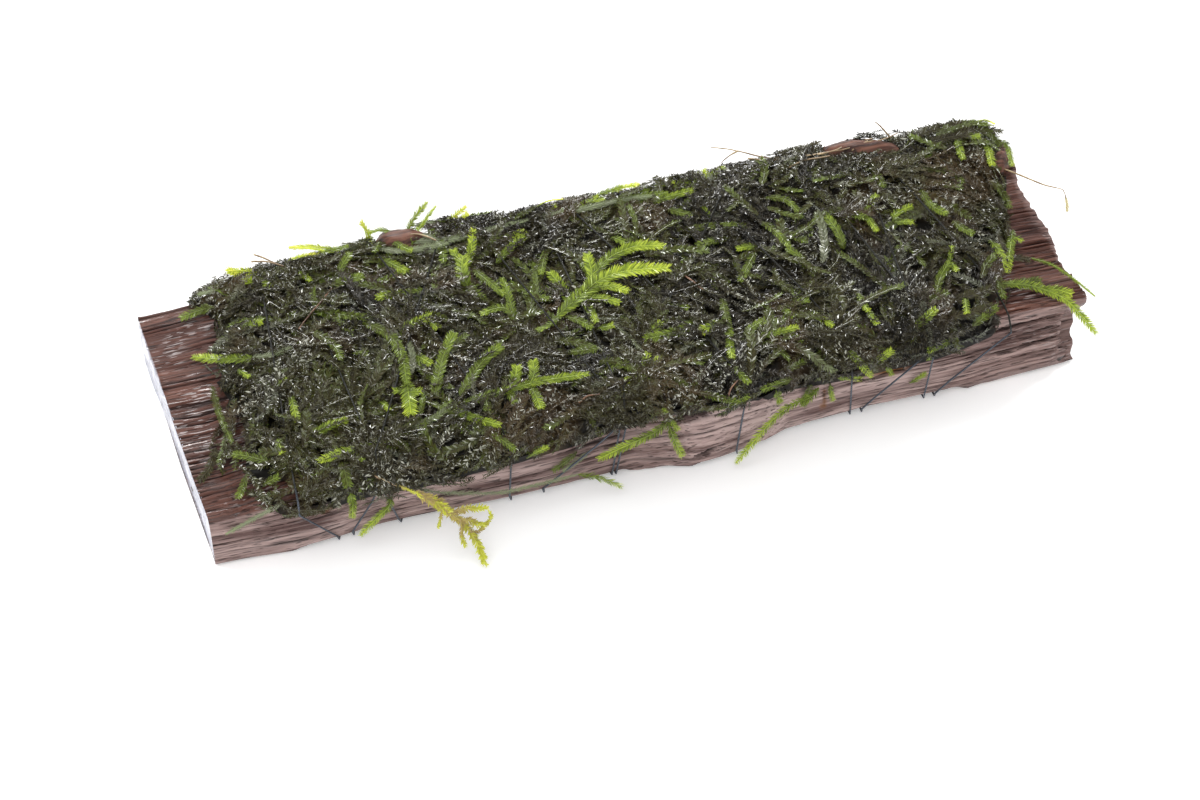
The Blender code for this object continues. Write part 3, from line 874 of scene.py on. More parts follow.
        # Painted shade mask: the grooves and hair lines, stronger on the top, and each cleft's hollow,
        # less where it is stained.
        cavity = np.clip((1.00 - 0.35 * front) * groove + 0.50 * hair, 0, 1)
        stain = np.zeros(len(grid))
        edge = SmoothNoise(6).at(grid, 0.0035, 0.0008, 0.0008) * 0.35
        for hollow in self.hollows:
            along = (x - hollow.x) / hollow.half_length
            up = (grid[:, 2] - hollow.z - 0.0006 * along) / hollow.half_height
            inside = smooth_step(1.15 - np.sqrt(along ** 2 + up ** 2) + edge, 0.0, 0.6) * front
            height -= hollow.depth * inside
            stain = np.maximum(stain, inside * hollow.stain)
            cavity = np.maximum(cavity, inside * (1 - 0.8 * hollow.stain))
        under = smooth_step(-normal[:, 2], 0.6, 0.9)
        # This takes the painted sheen off the front face at some places along the block.
        warm = (0.45 * smooth_step(x, 0.050, 0.075) + 0.22 * smooth_step(-x, 0.030, 0.070)
                + 0.42 * np.exp(-((x + 0.010) / 0.018) ** 2))
        return height * (1 - 0.75 * under), cavity, front * (1 - warm), stain

    def build(self, node: Object, finish: Material) -> None:
        """Make the block.

        Args:
            node: the CAD block.
            finish: the wood's material.
        """
        skin = Skin(node)
        targets = self._targets()
        around = len(targets)
        core = np.column_stack((np.clip(targets[:, 0], -self.core_half_depth, self.core_half_depth),
                                np.full(around, self.core_level)))
        limits = np.array((self._end(skin, core, -1) + self.margin,
                           self._end(skin, core, 1) - self.margin))
        level = np.column_stack((targets[:, 0] * 0.97, core[:, 1] - 0.001))
        sawn_end, torn_end = (self._end(skin, level, side) for side in (-1, 1))
        shares = np.arange(self.stations) / (self.stations - 1)
        body, cores = map(np.array, zip(*(
            self._outline(skin, sawn_end + (torn_end - sawn_end) * share, targets, limits)
            for share in shares)))
        normal = np.cross(np.roll(body, -1, 1) - np.roll(body, 1, 1), np.gradient(body, axis=0))
        normal /= np.linalg.norm(normal, axis=2)[:, :, None] + 1e-12
        flat, outward = [body.reshape(-1, 3)], [normal.reshape(-1, 3)]
        for number, side in ((0, -1), (-1, 1)):
            for inset in self.rings:
                ring = body[number] + (cores[number] - body[number]) * inset
                straight = self._end(skin, ring[:, 1:], side)
                close = np.abs(straight - body[number][:, 0]) < self.cap_relief
                ring[:, 0] = np.where(close, straight, body[number][:, 0])
                flat.append(ring)
                outward.append(np.tile((float(side), 0.0, 0.0), (around, 1)))
        flat, outward = np.concatenate(flat), np.concatenate(outward)
        lengths = np.linalg.norm(np.diff(targets, axis=0), axis=1)
        loops = self.stations + 2 * len(self.rings)
        across = np.tile(np.concatenate(((0.0,), np.cumsum(lengths))), loops)
        height, cavity, front, stain = self._relief(flat, across, outward)
        size = len(body) * around
        left = slice(size, size + len(self.rings) * around)
        right = slice(left.stop, None)
        saw = SmoothNoise(8).at(flat, 1.0, 0.0011, 0.02)
        height[left], height[right] = self.saw_depth * saw[left], 0.0
        moved = flat + outward * height[:, None]
        near_end = smooth_step(flat[:, 0], self.torn_from - self.tear_reach, self.torn_from)
        near_end[right] = 1.0
        tear = self._tear(flat)
        moved[:, 0] += tear * near_end
        moved[:, 2] = np.maximum(moved[:, 2], self.lowest)
        # Painted shade in the sawn end's saw marks and where the torn end's fibres sink.
        cavity[left] = 0.25 * np.abs(saw[left])
        cavity[right] = np.clip(0.2 - tear[right] / 0.003, 0, 1)
        # The torn end takes half of the painted sheen.
        front[right] = 0.5
        sawn = np.zeros(len(flat))
        sawn[left] = 1.0
        data = bpy.data.meshes.new("driftwood_block")
        data.from_pydata(moved.tolist(), [], self._faces(targets[:, 0]))
        finished(data, finish).set_sharp_from_angle(angle=self.sharp_angle)
        for name, values in (("cavity", cavity), ("face", front), ("stain", stain), ("sawn", sawn)):
            set_values(data, name, values)
        declare(put("driftwood_block", data), "wet_driftwood", "driftwood")

    def _faces(self, sideways: np.ndarray) -> list[tuple[int, ...]]:
        """Faces of the body, then of the two ends, each closed by a strip of triangles.

        Args:
            sideways: nominal y of each point round a loop.

        Returns:
            Corner numbers of each face.
        """
        around, count = len(sideways), len(self.rings)
        body = [station * around for station in range(self.stations)]
        sawn = [(self.stations + ring) * around for ring in range(count)]
        torn = [(self.stations + count + ring) * around for ring in range(count)]
        joins = [*zip(body, body[1:]), *zip(sawn, [0] + sawn), *zip(body[-1:] + torn, torn)]
        faces: list[tuple[int, ...]] = []
        for first, second in joins:
            for index in range(around):
                after = (index + 1) % around
                faces.append((first + index, first + after, second + after, second + index))
        for last, turned in ((sawn[-1], True), (torn[-1], False)):
            low, high = 0, around - 1
            while low + 1 < high:
                if sideways[low + 1] >= sideways[high - 1]:
                    corners = (low, low + 1, high)
                    low += 1
                else:
                    corners = (low, high - 1, high)
                    high -= 1
                corners = corners[::-1] if turned else corners
                faces.append(tuple(last + corner for corner in corners))
        return faces


# Shoots and leaves

class Look(Enum):
    """How bright a shoot is: the tint at its base and at its tip, and how pale and grey."""

    DARK = (0.12, 0.20, 0.0)
    OLIVE = (0.31, 0.44, 0.0)
    GREEN = (0.38, 0.55, 0.0)
    LIME = (0.44, 0.67, 0.0)
    BRIGHT = (0.47, 0.73, 0.0)
    YELLOW = (0.70, 0.90, 0.0)
    # Pale grey-green strands, partly their own colour and partly painted sheen.
    GHOST = (0.32, 0.48, 0.50)
    PALE = (0.60, 0.70, 0.85)
    GOLD = (0.16, 0.74, 0.0)


DARK, OLIVE, GREEN, LIME, BRIGHT, YELLOW, GHOST, PALE, GOLD = Look


class LeafShape(Enum):
    """Leaf meshes one unit long: a small one of two faces, a full one of four."""

    FINE = "fine_leaf"
    FULL = "full_leaf"

    def make(self) -> Object:
        """Build the leaf, folded along its midline and pointing along +X.

        Returns:
            The leaf's object, which no scene collection holds.
        """
        if self is LeafShape.FINE:
            points = ((0, 0, 0.04), (1, 0, 0.0), (0.42, 0.16, -0.05), (0.42, -0.16, -0.05))
            faces = ((0, 1, 2), (0, 3, 1))
        else:
            points = ((0, 0, 0.03), (1, 0, -0.08), (0.28, 0.060, -0.02), (0.28, -0.060, -0.02),
                      (0.66, 0.045, -0.06), (0.66, -0.045, -0.06))
            faces = ((0, 1, 4), (0, 4, 2), (0, 3, 5), (0, 5, 1))
        data = bpy.data.meshes.new(self.value)
        data.from_pydata(points, [], faces)
        set_values(data, "blade", np.array([point[0] for point in points]))
        return bpy.data.objects.new(self.value, data)


@dataclass
class Stem:
    """Centre line of one shoot, and what its leaves need at each point."""

    points: np.ndarray
    facing: np.ndarray
    leaf: np.ndarray
    tint: np.ndarray
    pale: float = 0.0
    girth: float = 1.0

    @classmethod
    def with_look(cls, points: np.ndarray, facing: np.ndarray, leaf: float, look: tuple) -> "Stem":
        """A stem of one look.

        Args:
            points: its line, from base to tip.
            facing: the outward direction at each point.
            leaf: the length of its longest leaves, which shorten to both of its ends.
            look: the tint at its base and at its tip, and how pale and grey it is.

        Returns:
            The stem.
        """
        share = np.linspace(0, 1, len(points))
        leaves = leaf * np.minimum(1.0, np.minimum(0.7 + share * 3.0, 0.55 + (1 - share) * 3.2))
        return cls(points, facing, leaves, np.linspace(look[0], look[1], len(points)), look[2])


@dataclass(frozen=True)
class Leafing:
    """How leaves sit on their stems: angles in radians, the stem's step between its rings."""

    spacing: float
    spread: float = 0.80
    lift: float = 0.22
    ruffle: float = 0.35
    stem_radius: float = 0.10 * MM
    stem_step: float = 1.2 * MM
    stem_sides: int = 3


class LeafMaker:
    """Sets leaves along stems with one geometry tree."""

    def __init__(self) -> None:
        """Build the tree and the two leaves."""
        self.leaves = {shape: shape.make() for shape in LeafShape}
        self.tree = self._make_tree()

    @staticmethod
    def _make_tree() -> NodeTree:
        """Build the tree: a pair of leaves at each step along each stem, and the stem itself.

        Returns:
            The tree.
        """
        tree = bpy.data.node_groups.new("leaves_along_stems", "GeometryNodeTree")
        sockets = (("Stems", "Geometry"), ("Leaf", "Object"), ("Spacing", "Float"),
                   ("Spread", "Float"), ("Lift", "Float"), ("Ruffle", "Float"),
                   ("Stem Radius", "Float"), ("Stem Step", "Float"), ("Stem Sides", "Int"),
                   ("Seed", "Int"), ("Finish", "Material"))
        for name, kind in sockets:
            tree.interface.new_socket(name, in_out="INPUT", socket_type="NodeSocket" + kind)
        tree.interface.new_socket("Shoots", in_out="OUTPUT", socket_type="NodeSocketGeometry")
        kit = NodeKit(tree)
        group = tree.nodes.new("NodeGroupInput")
        given = {name: Socket(kit, group.outputs[name]) for name, _ in sockets}

        def chance(low: float, high: float, salt: int) -> Socket:
            """A random number for each leaf."""
            return kit.add("FunctionNodeRandomValue", {"data_type": "FLOAT"},
                           {2: low, 3: high, 8: given["Seed"] + float(salt)}, 1)

        def named(name: str, kind: str) -> Socket:
            """An attribute of the stems."""
            return kit.add("GeometryNodeInputNamedAttribute", {"data_type": kind}, {"Name": name},
                           "Attribute")

        def stepped(length: Socket) -> Socket:
            """The stems with points at even steps."""
            return kit.add("GeometryNodeResampleCurve", {"mode": "LENGTH"},
                           {"Curve": lines, "Length": length})

        def shaded(points: Socket, value: Socket | float) -> Socket:
            """Points with the attribute shade."""
            return kit.add("GeometryNodeStoreNamedAttribute",
                           {"data_type": "FLOAT", "domain": "POINT"},
                           {"Geometry": points, "Name": "shade", "Value": value})

        lines = kit.add("GeometryNodeMeshToCurve", {}, {"Mesh": given["Stems"]})
        steps = stepped(given["Spacing"])
        heading = kit.add("FunctionNodeAlignRotationToVector", {"axis": "X"},
                          {"Vector": kit.add("GeometryNodeInputTangent")})
        frame = kit.add("FunctionNodeAlignRotationToVector", {"axis": "Z", "pivot_axis": "X"},
                        {"Rotation": heading, "Vector": named("facing", "FLOAT_VECTOR")})
        leaf = kit.add("GeometryNodeObjectInfo", {}, {"Object": given["Leaf"]}, "Geometry")
        parts = []
        for salt, side in ((0, 1.0), (20, -1.0)):
            roll = chance(-1, 1, salt + 1) * given["Ruffle"]
            pitch = given["Lift"] * -1.0 + chance(-1, 1, salt + 2) * given["Ruffle"] * 0.7
            yaw = (given["Spread"] + chance(-0.4, 0.4, salt + 3) * given["Ruffle"]) * side
            turn = kit.add("ShaderNodeCombineXYZ", {}, {0: roll, 1: pitch, 2: yaw})
            turn = kit.add("FunctionNodeEulerToRotation", {}, {0: turn})
            turn = kit.add("FunctionNodeRotateRotation", {"rotation_space": "LOCAL"},
                           {"Rotation": frame, "Rotate By": turn})
            size = named("leaf", "FLOAT") * chance(0.78, 1.15, salt + 4)
            parts.append(kit.add("GeometryNodeInstanceOnPoints", {},
                                 {"Points": shaded(steps, chance(0, 1, salt + 5)),
                                  "Instance": leaf, "Rotation": turn, "Scale": size}))
        ring = kit.add("GeometryNodeCurvePrimitiveCircle", {"mode": "RADIUS"},
                       {"Resolution": given["Stem Sides"], "Radius": given["Stem Radius"]})
        parts.append(kit.add("GeometryNodeCurveToMesh", {},
                             {"Curve": shaded(stepped(given["Stem Step"]), 1.0),
                              "Profile Curve": ring, "Fill Caps": True}))
        whole = kit.add("GeometryNodeJoinGeometry", {}, {"Geometry": parts})
        whole = kit.add("GeometryNodeRealizeInstances", {}, {"Geometry": whole})
        whole = kit.add("GeometryNodeSetMaterial", {}, {"Geometry": whole, "Material": given["Finish"]})
        out = tree.nodes.new("NodeGroupOutput")
        tree.links.new(whole.socket, out.inputs["Shoots"])
        return tree

    def discard_leaves(self) -> None:
        """Remove the loose leaves, once every shoot has its own."""
        for leaf in self.leaves.values():
            data = leaf.data
            bpy.data.objects.remove(leaf)
            bpy.data.meshes.remove(data)

    @staticmethod
    def _lines(name: str, stems: list[Stem]) -> Object:
        """Make the stems one mesh of edges with their values.

        Args:
            name: the mesh's name.
            stems: the centre lines.

        Returns:
            The object.
        """
        counts = [len(stem.points) for stem in stems]
        edges, start = [], 0
        for count in counts:
            edges += [(start + i, start + i + 1) for i in range(count - 1)]
            start += count
        data = bpy.data.meshes.new(name)
        data.from_pydata(np.concatenate([stem.points for stem in stems]).tolist(), edges, [])
        for value in ("leaf", "tint"):
            set_values(data, value, np.concatenate([getattr(stem, value) for stem in stems]))
        set_values(data, "pale", np.repeat([stem.pale for stem in stems], counts))
        set_values(data, "radius", np.concatenate([stem.girth * np.linspace(1, 0.55, len(stem.points))
                                                   for stem in stems]))
        facing = data.attributes.new("facing", "FLOAT_VECTOR", "POINT")
        facing.data.foreach_set("vector", np.concatenate([stem.facing for stem in stems]).ravel())
        return put(name, data)

    def grow(self, name: str, stems: list[Stem], shape: LeafShape, finish: Material,
             leafing: Leafing, seed: int) -> Object:
        """Make one piece of leafy shoots.

        Args:
            name: the piece's name.
            stems: the centre lines.
            shape: which leaf.
            finish: the material.
            leafing: how the leaves sit.
            seed: for the leaves' small differences.

        Returns:
            The piece, a plain mesh.
        """
        values = {"Leaf": self.leaves[shape], "Seed": seed, "Finish": finish}
        values |= {key.replace("_", " ").title(): value for key, value in vars(leafing).items()}
        return apply_tree(self._lines(name + "_lines", stems), self.tree, values, name)


def apply_tree(source: Object, tree: NodeTree, values: dict, name: str) -> Object:
    """Run a geometry tree on an object and keep the result as a plain mesh.

    Args:
        source: the object to run it on, removed afterwards.
        tree: the geometry tree.
        values: its inputs by name.
        name: the new piece's name.

    Returns:
        The new piece.
    """
    modifier = source.modifiers.new("tree", "NODES")
    modifier.node_group = tree
    for item in tree.interface.items_tree:
        if item.item_type == "SOCKET" and item.in_out == "INPUT" and item.name in values:
            modifier[item.identifier] = values[item.name]
    graph = bpy.context.evaluated_depsgraph_get()
    data = bpy.data.meshes.new_from_object(source.evaluated_get(graph))
    source.modifiers.remove(modifier)
    lines = source.data
    bpy.data.objects.remove(source)
    bpy.data.meshes.remove(lines)
    for spare in ("facing", "leaf", "radius"):
        if spare in data.attributes:
            data.attributes.remove(data.attributes[spare])
    data.name = name
    return put(name, data)


# The clear shoots of the reference view: each line runs from base to tip, in its pixels

LEAST_LIFT = 1.9


@dataclass(frozen=True)
class Mark:
    """One clear shoot: its look, its width in pixels, its line, and its lift off the mat in mm."""

    look: Look
    width: float
    line: tuple[Place, ...]
    lift: float


def marks(*rows: tuple) -> tuple[Mark, ...]:
    """Make marks from short rows.

    Args:
        rows: a look, a width and the places of each line, and last its lift where that is high.

    Returns:
        The marks.
    """
    made = []
    for look, width, *line in rows:
        lift = LEAST_LIFT if isinstance(line[-1], tuple) else line.pop()
        made.append(Mark(look, width, tuple(line), lift))
    return tuple(made)


CLEAR_SHOOTS = {
    "lime_fan": marks(
        (BRIGHT, 17, (557, 316), (584, 293), (600, 280), (626, 271), (668, 268), 2.6),
        (BRIGHT, 13, (592, 279), (604, 262), (620, 252), (640, 246), (664, 246), 3),
        (LIME, 13, (587, 290), (592, 276), (587, 254), 2.6),
        (LIME, 12, (573, 308), (565, 292), (550, 272), 2),
        (BRIGHT, 10, (582, 294), (606, 286), (628, 291), 2.4),
        (BRIGHT, 10, (580, 299), (602, 298), (619, 303), 2),
        (LIME, 9, (583, 302), (590, 310), (596, 322)), (LIME, 9, (612, 237), (619, 240), (627, 244)),
        (GREEN, 9, (566, 316), (580, 321), (592, 328)), (LIME, 8, (598, 328), (606, 327), (613, 325))),
    "feather_shoot": marks(
        (LIME, 10, (463, 403), (507, 390), (542, 381), (588, 374), 2.2),
        (LIME, 12, (510, 389), (515, 379), (517, 366), 2.2),
        (LIME, 12, (530, 385), (534, 374), (533, 361), 2.4),
        (LIME, 11, (531, 386), (536, 396), (541, 408)), (GREEN, 9, (506, 391), (511, 396), (515, 402)),
        (GREEN, 9, (484, 397), (487, 403), (487, 410))),
    "left_shoots": marks(
        (GREEN, 11, (214, 306), (199, 311), (181, 318)), (GHOST, 7, (218, 290), (208, 292), (198, 295)),
        (YELLOW, 12, (254, 284), (242, 277), (227, 269)), (LIME, 9, (254, 279), (262, 282), (270, 287)),
        (LIME, 11, (256, 358), (236, 359), (216, 359), (193, 357)),
        (GHOST, 7, (250, 358), (270, 355), (292, 348)), (LIME, 9, (291, 396), (294, 408), (297, 421)),
        (LIME, 8, (272, 388), (279, 384), (287, 380)), (LIME, 7, (238, 369), (243, 373), (249, 377)),
        (LIME, 11, (409, 444), (376, 447), (345, 452), (319, 461)),
        (GREEN, 8, (355, 450), (359, 454), (363, 460)),
        (LIME, 10, (305, 443), (317, 432), (331, 425), (347, 420)),
        (GREEN, 9, (273, 463), (250, 457), (233, 454)), (GREEN, 9, (247, 474), (243, 486), (238, 498)),
        (LIME, 8, (277, 439), (280, 446), (282, 453)), (GREEN, 9, (264, 484), (270, 481), (278, 477)),
        (GHOST, 6, (282, 504), (262, 514), (244, 524), (226, 534)),
        (DARK, 10, (216, 448), (209, 469), (192, 489)), (OLIVE, 8, (212, 386), (218, 410), (232, 442)),
        (OLIVE, 11, (342, 461), (345, 473), (348, 486)),
        (GREEN, 12, (363, 322), (389, 335), (402, 356), (407, 384)),
        (BRIGHT, 15, (407, 382), (409, 397), (411, 414)), (LIME, 9, (405, 392), (413, 392), (421, 391)),
        (LIME, 8, (404, 392), (399, 391), (394, 391)), (LIME, 12, (399, 333), (412, 325), (431, 316)),
        (LIME, 9, (424, 318), (432, 323), (438, 328)), (LIME, 11, (430, 291), (404, 294), (377, 297)),
        (GREEN, 10, (330, 286), (346, 280), (363, 276)), (LIME, 10, (379, 259), (392, 264), (406, 271)),
        (GREEN, 9, (338, 274), (343, 264), (350, 253)), (LIME, 8, (296, 267), (302, 273), (310, 281)),
        (LIME, 7, (380, 402), (385, 405), (389, 410)), (LIME, 9, (412, 355), (421, 358), (431, 364)),
        (GREEN, 7, (353, 353), (360, 353), (367, 353)), (LIME, 9, (240, 330), (252, 324), (262, 322))),
    "middle_shoots": marks(
        (GREEN, 12, (434, 398), (440, 368), (447, 346), (454, 333)),
        (GREEN, 12, (460, 396), (476, 370), (488, 356), (501, 346)),
        (LIME, 9, (452, 409), (474, 418), (500, 425)),
        (GREEN, 9, (516, 322), (507, 309), (494, 309), (481, 314)),
        (GREEN, 9, (513, 320), (511, 304), (502, 278)), (GREEN, 9, (473, 270), (488, 281), (504, 295)),
        (LIME, 15, (468, 287), (462, 270), (463, 256)),
        (BRIGHT, 10, (466, 268), (471, 250), (473, 229), 2.2),
        (LIME, 10, (460, 262), (456, 256), (453, 250)), (LIME, 9, (496, 263), (512, 246), (528, 234)),
        (GREEN, 9, (546, 252), (543, 263), (541, 274)), (OLIVE, 10, (600, 361), (620, 362), (637, 371)),
        (LIME, 9, (634, 371), (643, 366), (648, 353)), (LIME, 9, (657, 386), (641, 379), (626, 381)),
        (LIME, 8, (647, 378), (652, 368), (659, 357)),
        (GREEN, 13, (704, 316), (684, 329), (666, 335), (646, 339)),
        (LIME, 9, (650, 336), (655, 329), (661, 322)), (GREEN, 8, (667, 304), (677, 305), (688, 309)),
        (OLIVE, 9, (606, 352), (590, 350), (572, 352)), (OLIVE, 10, (560, 340), (578, 343), (596, 350)),
        (GREEN, 8, (489, 432), (502, 440), (515, 450)), (LIME, 7, (527, 458), (537, 452), (548, 447)),
        (GREEN, 9, (577, 256), (585, 267), (594, 279)), (GREEN, 8, (520, 290), (534, 296), (549, 299))),
    "back_edge_shoots": marks(
        (BRIGHT, 8, (411, 246), (420, 227), (436, 206), 2.5),
        (YELLOW, 8, (367, 240), (365, 230), (362, 219)), (YELLOW, 7, (336, 253), (314, 249), (289, 247)),
        (YELLOW, 8, (456, 228), (461, 220), (468, 213)), (LIME, 9, (392, 231), (380, 230), (368, 233)),
        (BRIGHT, 9, (531, 219), (541, 211), (556, 206)), (YELLOW, 8, (536, 207), (548, 201), (563, 199)),
        (BRIGHT, 9, (568, 211), (585, 203), (604, 199)), (LIME, 9, (590, 200), (606, 192), (622, 186), 2),
        (YELLOW, 8, (612, 192), (624, 187), (640, 184), 2),
        (BRIGHT, 9, (640, 192), (655, 186), (674, 182)), (BRIGHT, 10, (672, 188), (690, 181), (706, 171)),
        (LIME, 10, (690, 188), (706, 179), (724, 168)), (LIME, 9, (651, 202), (672, 196), (694, 190)),
        (GHOST, 7, (478, 238), (500, 228), (524, 222)), (LIME, 8, (486, 244), (505, 238), (524, 231)),
        (GHOST, 6, (410, 251), (432, 251), (452, 250)),
        (GHOST, 8, (384, 244), (410, 241), (440, 241), (470, 236)),
        (GHOST, 7, (452, 238), (480, 232), (505, 226), (535, 219)),
        (GHOST, 8, (520, 226), (548, 216), (578, 210), (604, 203)),
        (GHOST, 7, (412, 226), (436, 222), (462, 221)), (GREEN, 8, (470, 226), (492, 221), (515, 219)),
        (GHOST, 7, (590, 209), (620, 200), (652, 196)), (LIME, 8, (556, 212), (578, 206), (598, 196)),
        (BRIGHT, 8, (544, 213), (556, 209), (572, 204)), (GREEN, 8, (610, 204), (640, 196), (668, 193)),
        (GHOST, 6, (380, 250), (362, 247), (345, 250)), (LIME, 8, (418, 242), (408, 238), (396, 238)),
        (YELLOW, 7, (286, 262), (300, 256), (318, 254)), (GREEN, 8, (300, 258), (322, 252), (348, 246)),
        (GHOST, 8, (378, 248), (398, 251), (426, 247), (448, 243), 2.6),
        (LIME, 8, (392, 240), (401, 246), (412, 251), 3),
        (GREEN, 8, (388, 233), (381, 241), (374, 252), 2.8),
        (GHOST, 7, (420, 233), (432, 238), (442, 246), 2.8),
        (DARK, 9, (372, 244), (390, 236), (408, 232), 2.4)),
    "right_shoots": marks(
        (GREEN, 9, (686, 229), (715, 226), (745, 226)), (LIME, 8, (714, 220), (708, 214), (702, 208)),
        (GREEN, 9, (667, 209), (678, 212), (690, 216)), (GREEN, 8, (766, 197), (786, 200), (799, 212)),
        (GREEN, 9, (762, 222), (776, 232), (789, 246)), (LIME, 9, (870, 216), (868, 207), (877, 195)),
        (LIME, 8, (866, 213), (870, 221), (877, 231)), (OLIVE, 10, (824, 209), (844, 212), (864, 217)),
        (GREEN, 10, (844, 249), (838, 232), (826, 215)), (LIME, 9, (892, 222), (897, 213), (912, 206)),
        (LIME, 7, (893, 222), (902, 222), (913, 222)), (GREEN, 9, (921, 189), (930, 204), (947, 214)),
        (OLIVE, 9, (872, 168), (878, 177), (884, 187)), (GREEN, 8, (806, 268), (799, 256), (787, 248)),
        (GREEN, 9, (755, 252), (748, 266), (740, 281)), (GREEN, 9, (729, 238), (713, 241), (697, 245)),
        (LIME, 8, (757, 246), (747, 247), (737, 249)), (GREEN, 10, (722, 298), (726, 318), (730, 338)),
        (LIME, 12, (725, 322), (714, 326), (702, 331)), (LIME, 9, (729, 334), (730, 345), (732, 358)),
        (GREEN, 8, (728, 364), (738, 372), (749, 383)), (GREEN, 10, (743, 334), (753, 327), (765, 320)),
        (LIME, 8, (757, 337), (777, 332), (798, 327)), (GREEN, 8, (788, 304), (798, 302), (808, 300)),
        (LIME, 8, (808, 311), (820, 318), (833, 326)), (GREEN, 8, (779, 305), (785, 310), (793, 317)),
        (LIME, 8, (858, 293), (863, 303), (868, 311)), (LIME, 8, (868, 310), (872, 317), (877, 324)),
        (LIME, 10, (914, 328), (924, 320), (936, 309)), (GREEN, 9, (935, 298), (941, 276), (950, 262)),
        (LIME, 7, (950, 263), (951, 254), (952, 245)), (LIME, 7, (952, 262), (954, 266), (957, 271)),
        (GREEN, 9, (953, 221), (962, 228), (973, 234)), (LIME, 9, (957, 138), (959, 147), (963, 159)),
        (BRIGHT, 10, (985, 139), (989, 151), (992, 165)), (LIME, 8, (966, 136), (972, 136), (980, 137)),
        (LIME, 9, (1004, 140), (1009, 150), (1012, 166)), (YELLOW, 7, (976, 122), (985, 120), (995, 124)),
        (BRIGHT, 10, (990, 240), (1000, 253), (1005, 272)),
        (BRIGHT, 10, (1013, 230), (1010, 250), (1007, 272)),
        (LIME, 7, (1011, 240), (1016, 238), (1022, 241)),
        (OLIVE, 10, (1006, 284), (1022, 282), (1041, 281)),
        (GREEN, 7, (893, 248), (899, 248), (906, 249)), (LIME, 8, (965, 297), (966, 305), (967, 313)),
        (GREEN, 9, (973, 326), (984, 317), (997, 307)),
        (DARK, 11, (890, 142), (912, 134), (938, 128), 2.2),
        (DARK, 12, (915, 136), (942, 128), (968, 124), 2.4),
        (OLIVE, 11, (938, 132), (962, 124), (988, 123), 2.4),
        (DARK, 12, (950, 138), (975, 129), (1002, 132), 2.2),
        (OLIVE, 11, (972, 131), (988, 133), (1002, 145)),
        (DARK, 11, (925, 145), (950, 137), (978, 134), 2), (DARK, 11, (952, 302), (972, 294), (996, 288)),
        (DARK, 11, (948, 318), (972, 312), (998, 306)), (OLIVE, 10, (990, 262), (998, 278), (1003, 298)),
        (DARK, 10, (962, 286), (980, 298), (990, 314)), (DARK, 10, (996, 232), (1003, 252), (1002, 274)),
        (DARK, 10, (994, 196), (1004, 214), (1008, 236)),
        (OLIVE, 9, (990, 180), (1002, 192), (1010, 208)),
        (DARK, 9, (1002, 262), (1014, 258), (1030, 260))),
    "front_edge_shoots": marks(
        (GREEN, 9, (708, 411), (727, 404), (748, 396)), (LIME, 9, (776, 391), (778, 396), (780, 403)),
        (GREEN, 9, (811, 385), (807, 395), (803, 406)), (GREEN, 8, (818, 388), (811, 394), (806, 402)),
        (LIME, 7, (830, 383), (831, 391), (833, 401)), (LIME, 9, (837, 378), (849, 378), (861, 379)),
        (BRIGHT, 9, (847, 350), (859, 362), (872, 377)), (LIME, 9, (869, 368), (880, 359), (892, 350)),
        (LIME, 7, (910, 383), (917, 379), (926, 373)), (LIME, 7, (886, 367), (889, 370), (892, 375)),
        (GREEN, 9, (951, 340), (940, 345), (928, 350)), (GREEN, 7, (932, 348), (931, 354), (929, 360)),
        (GREEN, 8, (792, 379), (777, 384), (762, 390)), (LIME, 9, (350, 492), (352, 500), (353, 508)),
        (LIME, 8, (667, 417), (672, 422), (678, 430)), (GHOST, 7, (590, 451), (577, 461), (563, 471)),
        (OLIVE, 8, (577, 452), (566, 461), (553, 471)), (GREEN, 8, (646, 421), (655, 415), (666, 410)),
        (GREEN, 8, (700, 392), (716, 397), (730, 400))),
}
BROWN_STEMS = marks(
    (DARK, 2, (332, 288), (322, 300), (311, 313), (299, 329), 2.4),
    (DARK, 2, (676, 270), (688, 278), (703, 289), 2), (DARK, 2, (580, 402), (588, 396), (600, 394), 2),
    (DARK, 2, (728, 398), (731, 388), (738, 380), 2))
TAN_STEMS = marks(
    (PALE, 2, (254, 255), (266, 259), (283, 267)), (PALE, 2, (252, 262), (270, 262), (292, 270)),
    (PALE, 2, (748, 159), (772, 160), (800, 157), (824, 153), (846, 149), (868, 141), 2.6),
    (PALE, 2, (786, 168), (806, 160), (830, 156), 2.4),
    (PALE, 2, (812, 156), (835, 150), (852, 143), (872, 139), 3),
    (PALE, 2, (850, 152), (862, 144), (880, 140), (898, 133), 2.6),
    (PALE, 2, (372, 475), (384, 480), (395, 485), (406, 490)),
    (PALE, 2, (388, 243), (402, 236), (420, 235), (436, 240), 3))


@dataclass(frozen=True)
class FreeShoot:
    """A shoot that stands out of the mat along its CAD node's own route."""

    node: str
    look: Look
    leaf: float
    routes: tuple[Route, ...]
    slot: str = "fresh_moss"
    ruffle: float = 0.35
    strands: int = 1
    shape: LeafShape = LeafShape.FULL
    scales: tuple[float, ...] = ()


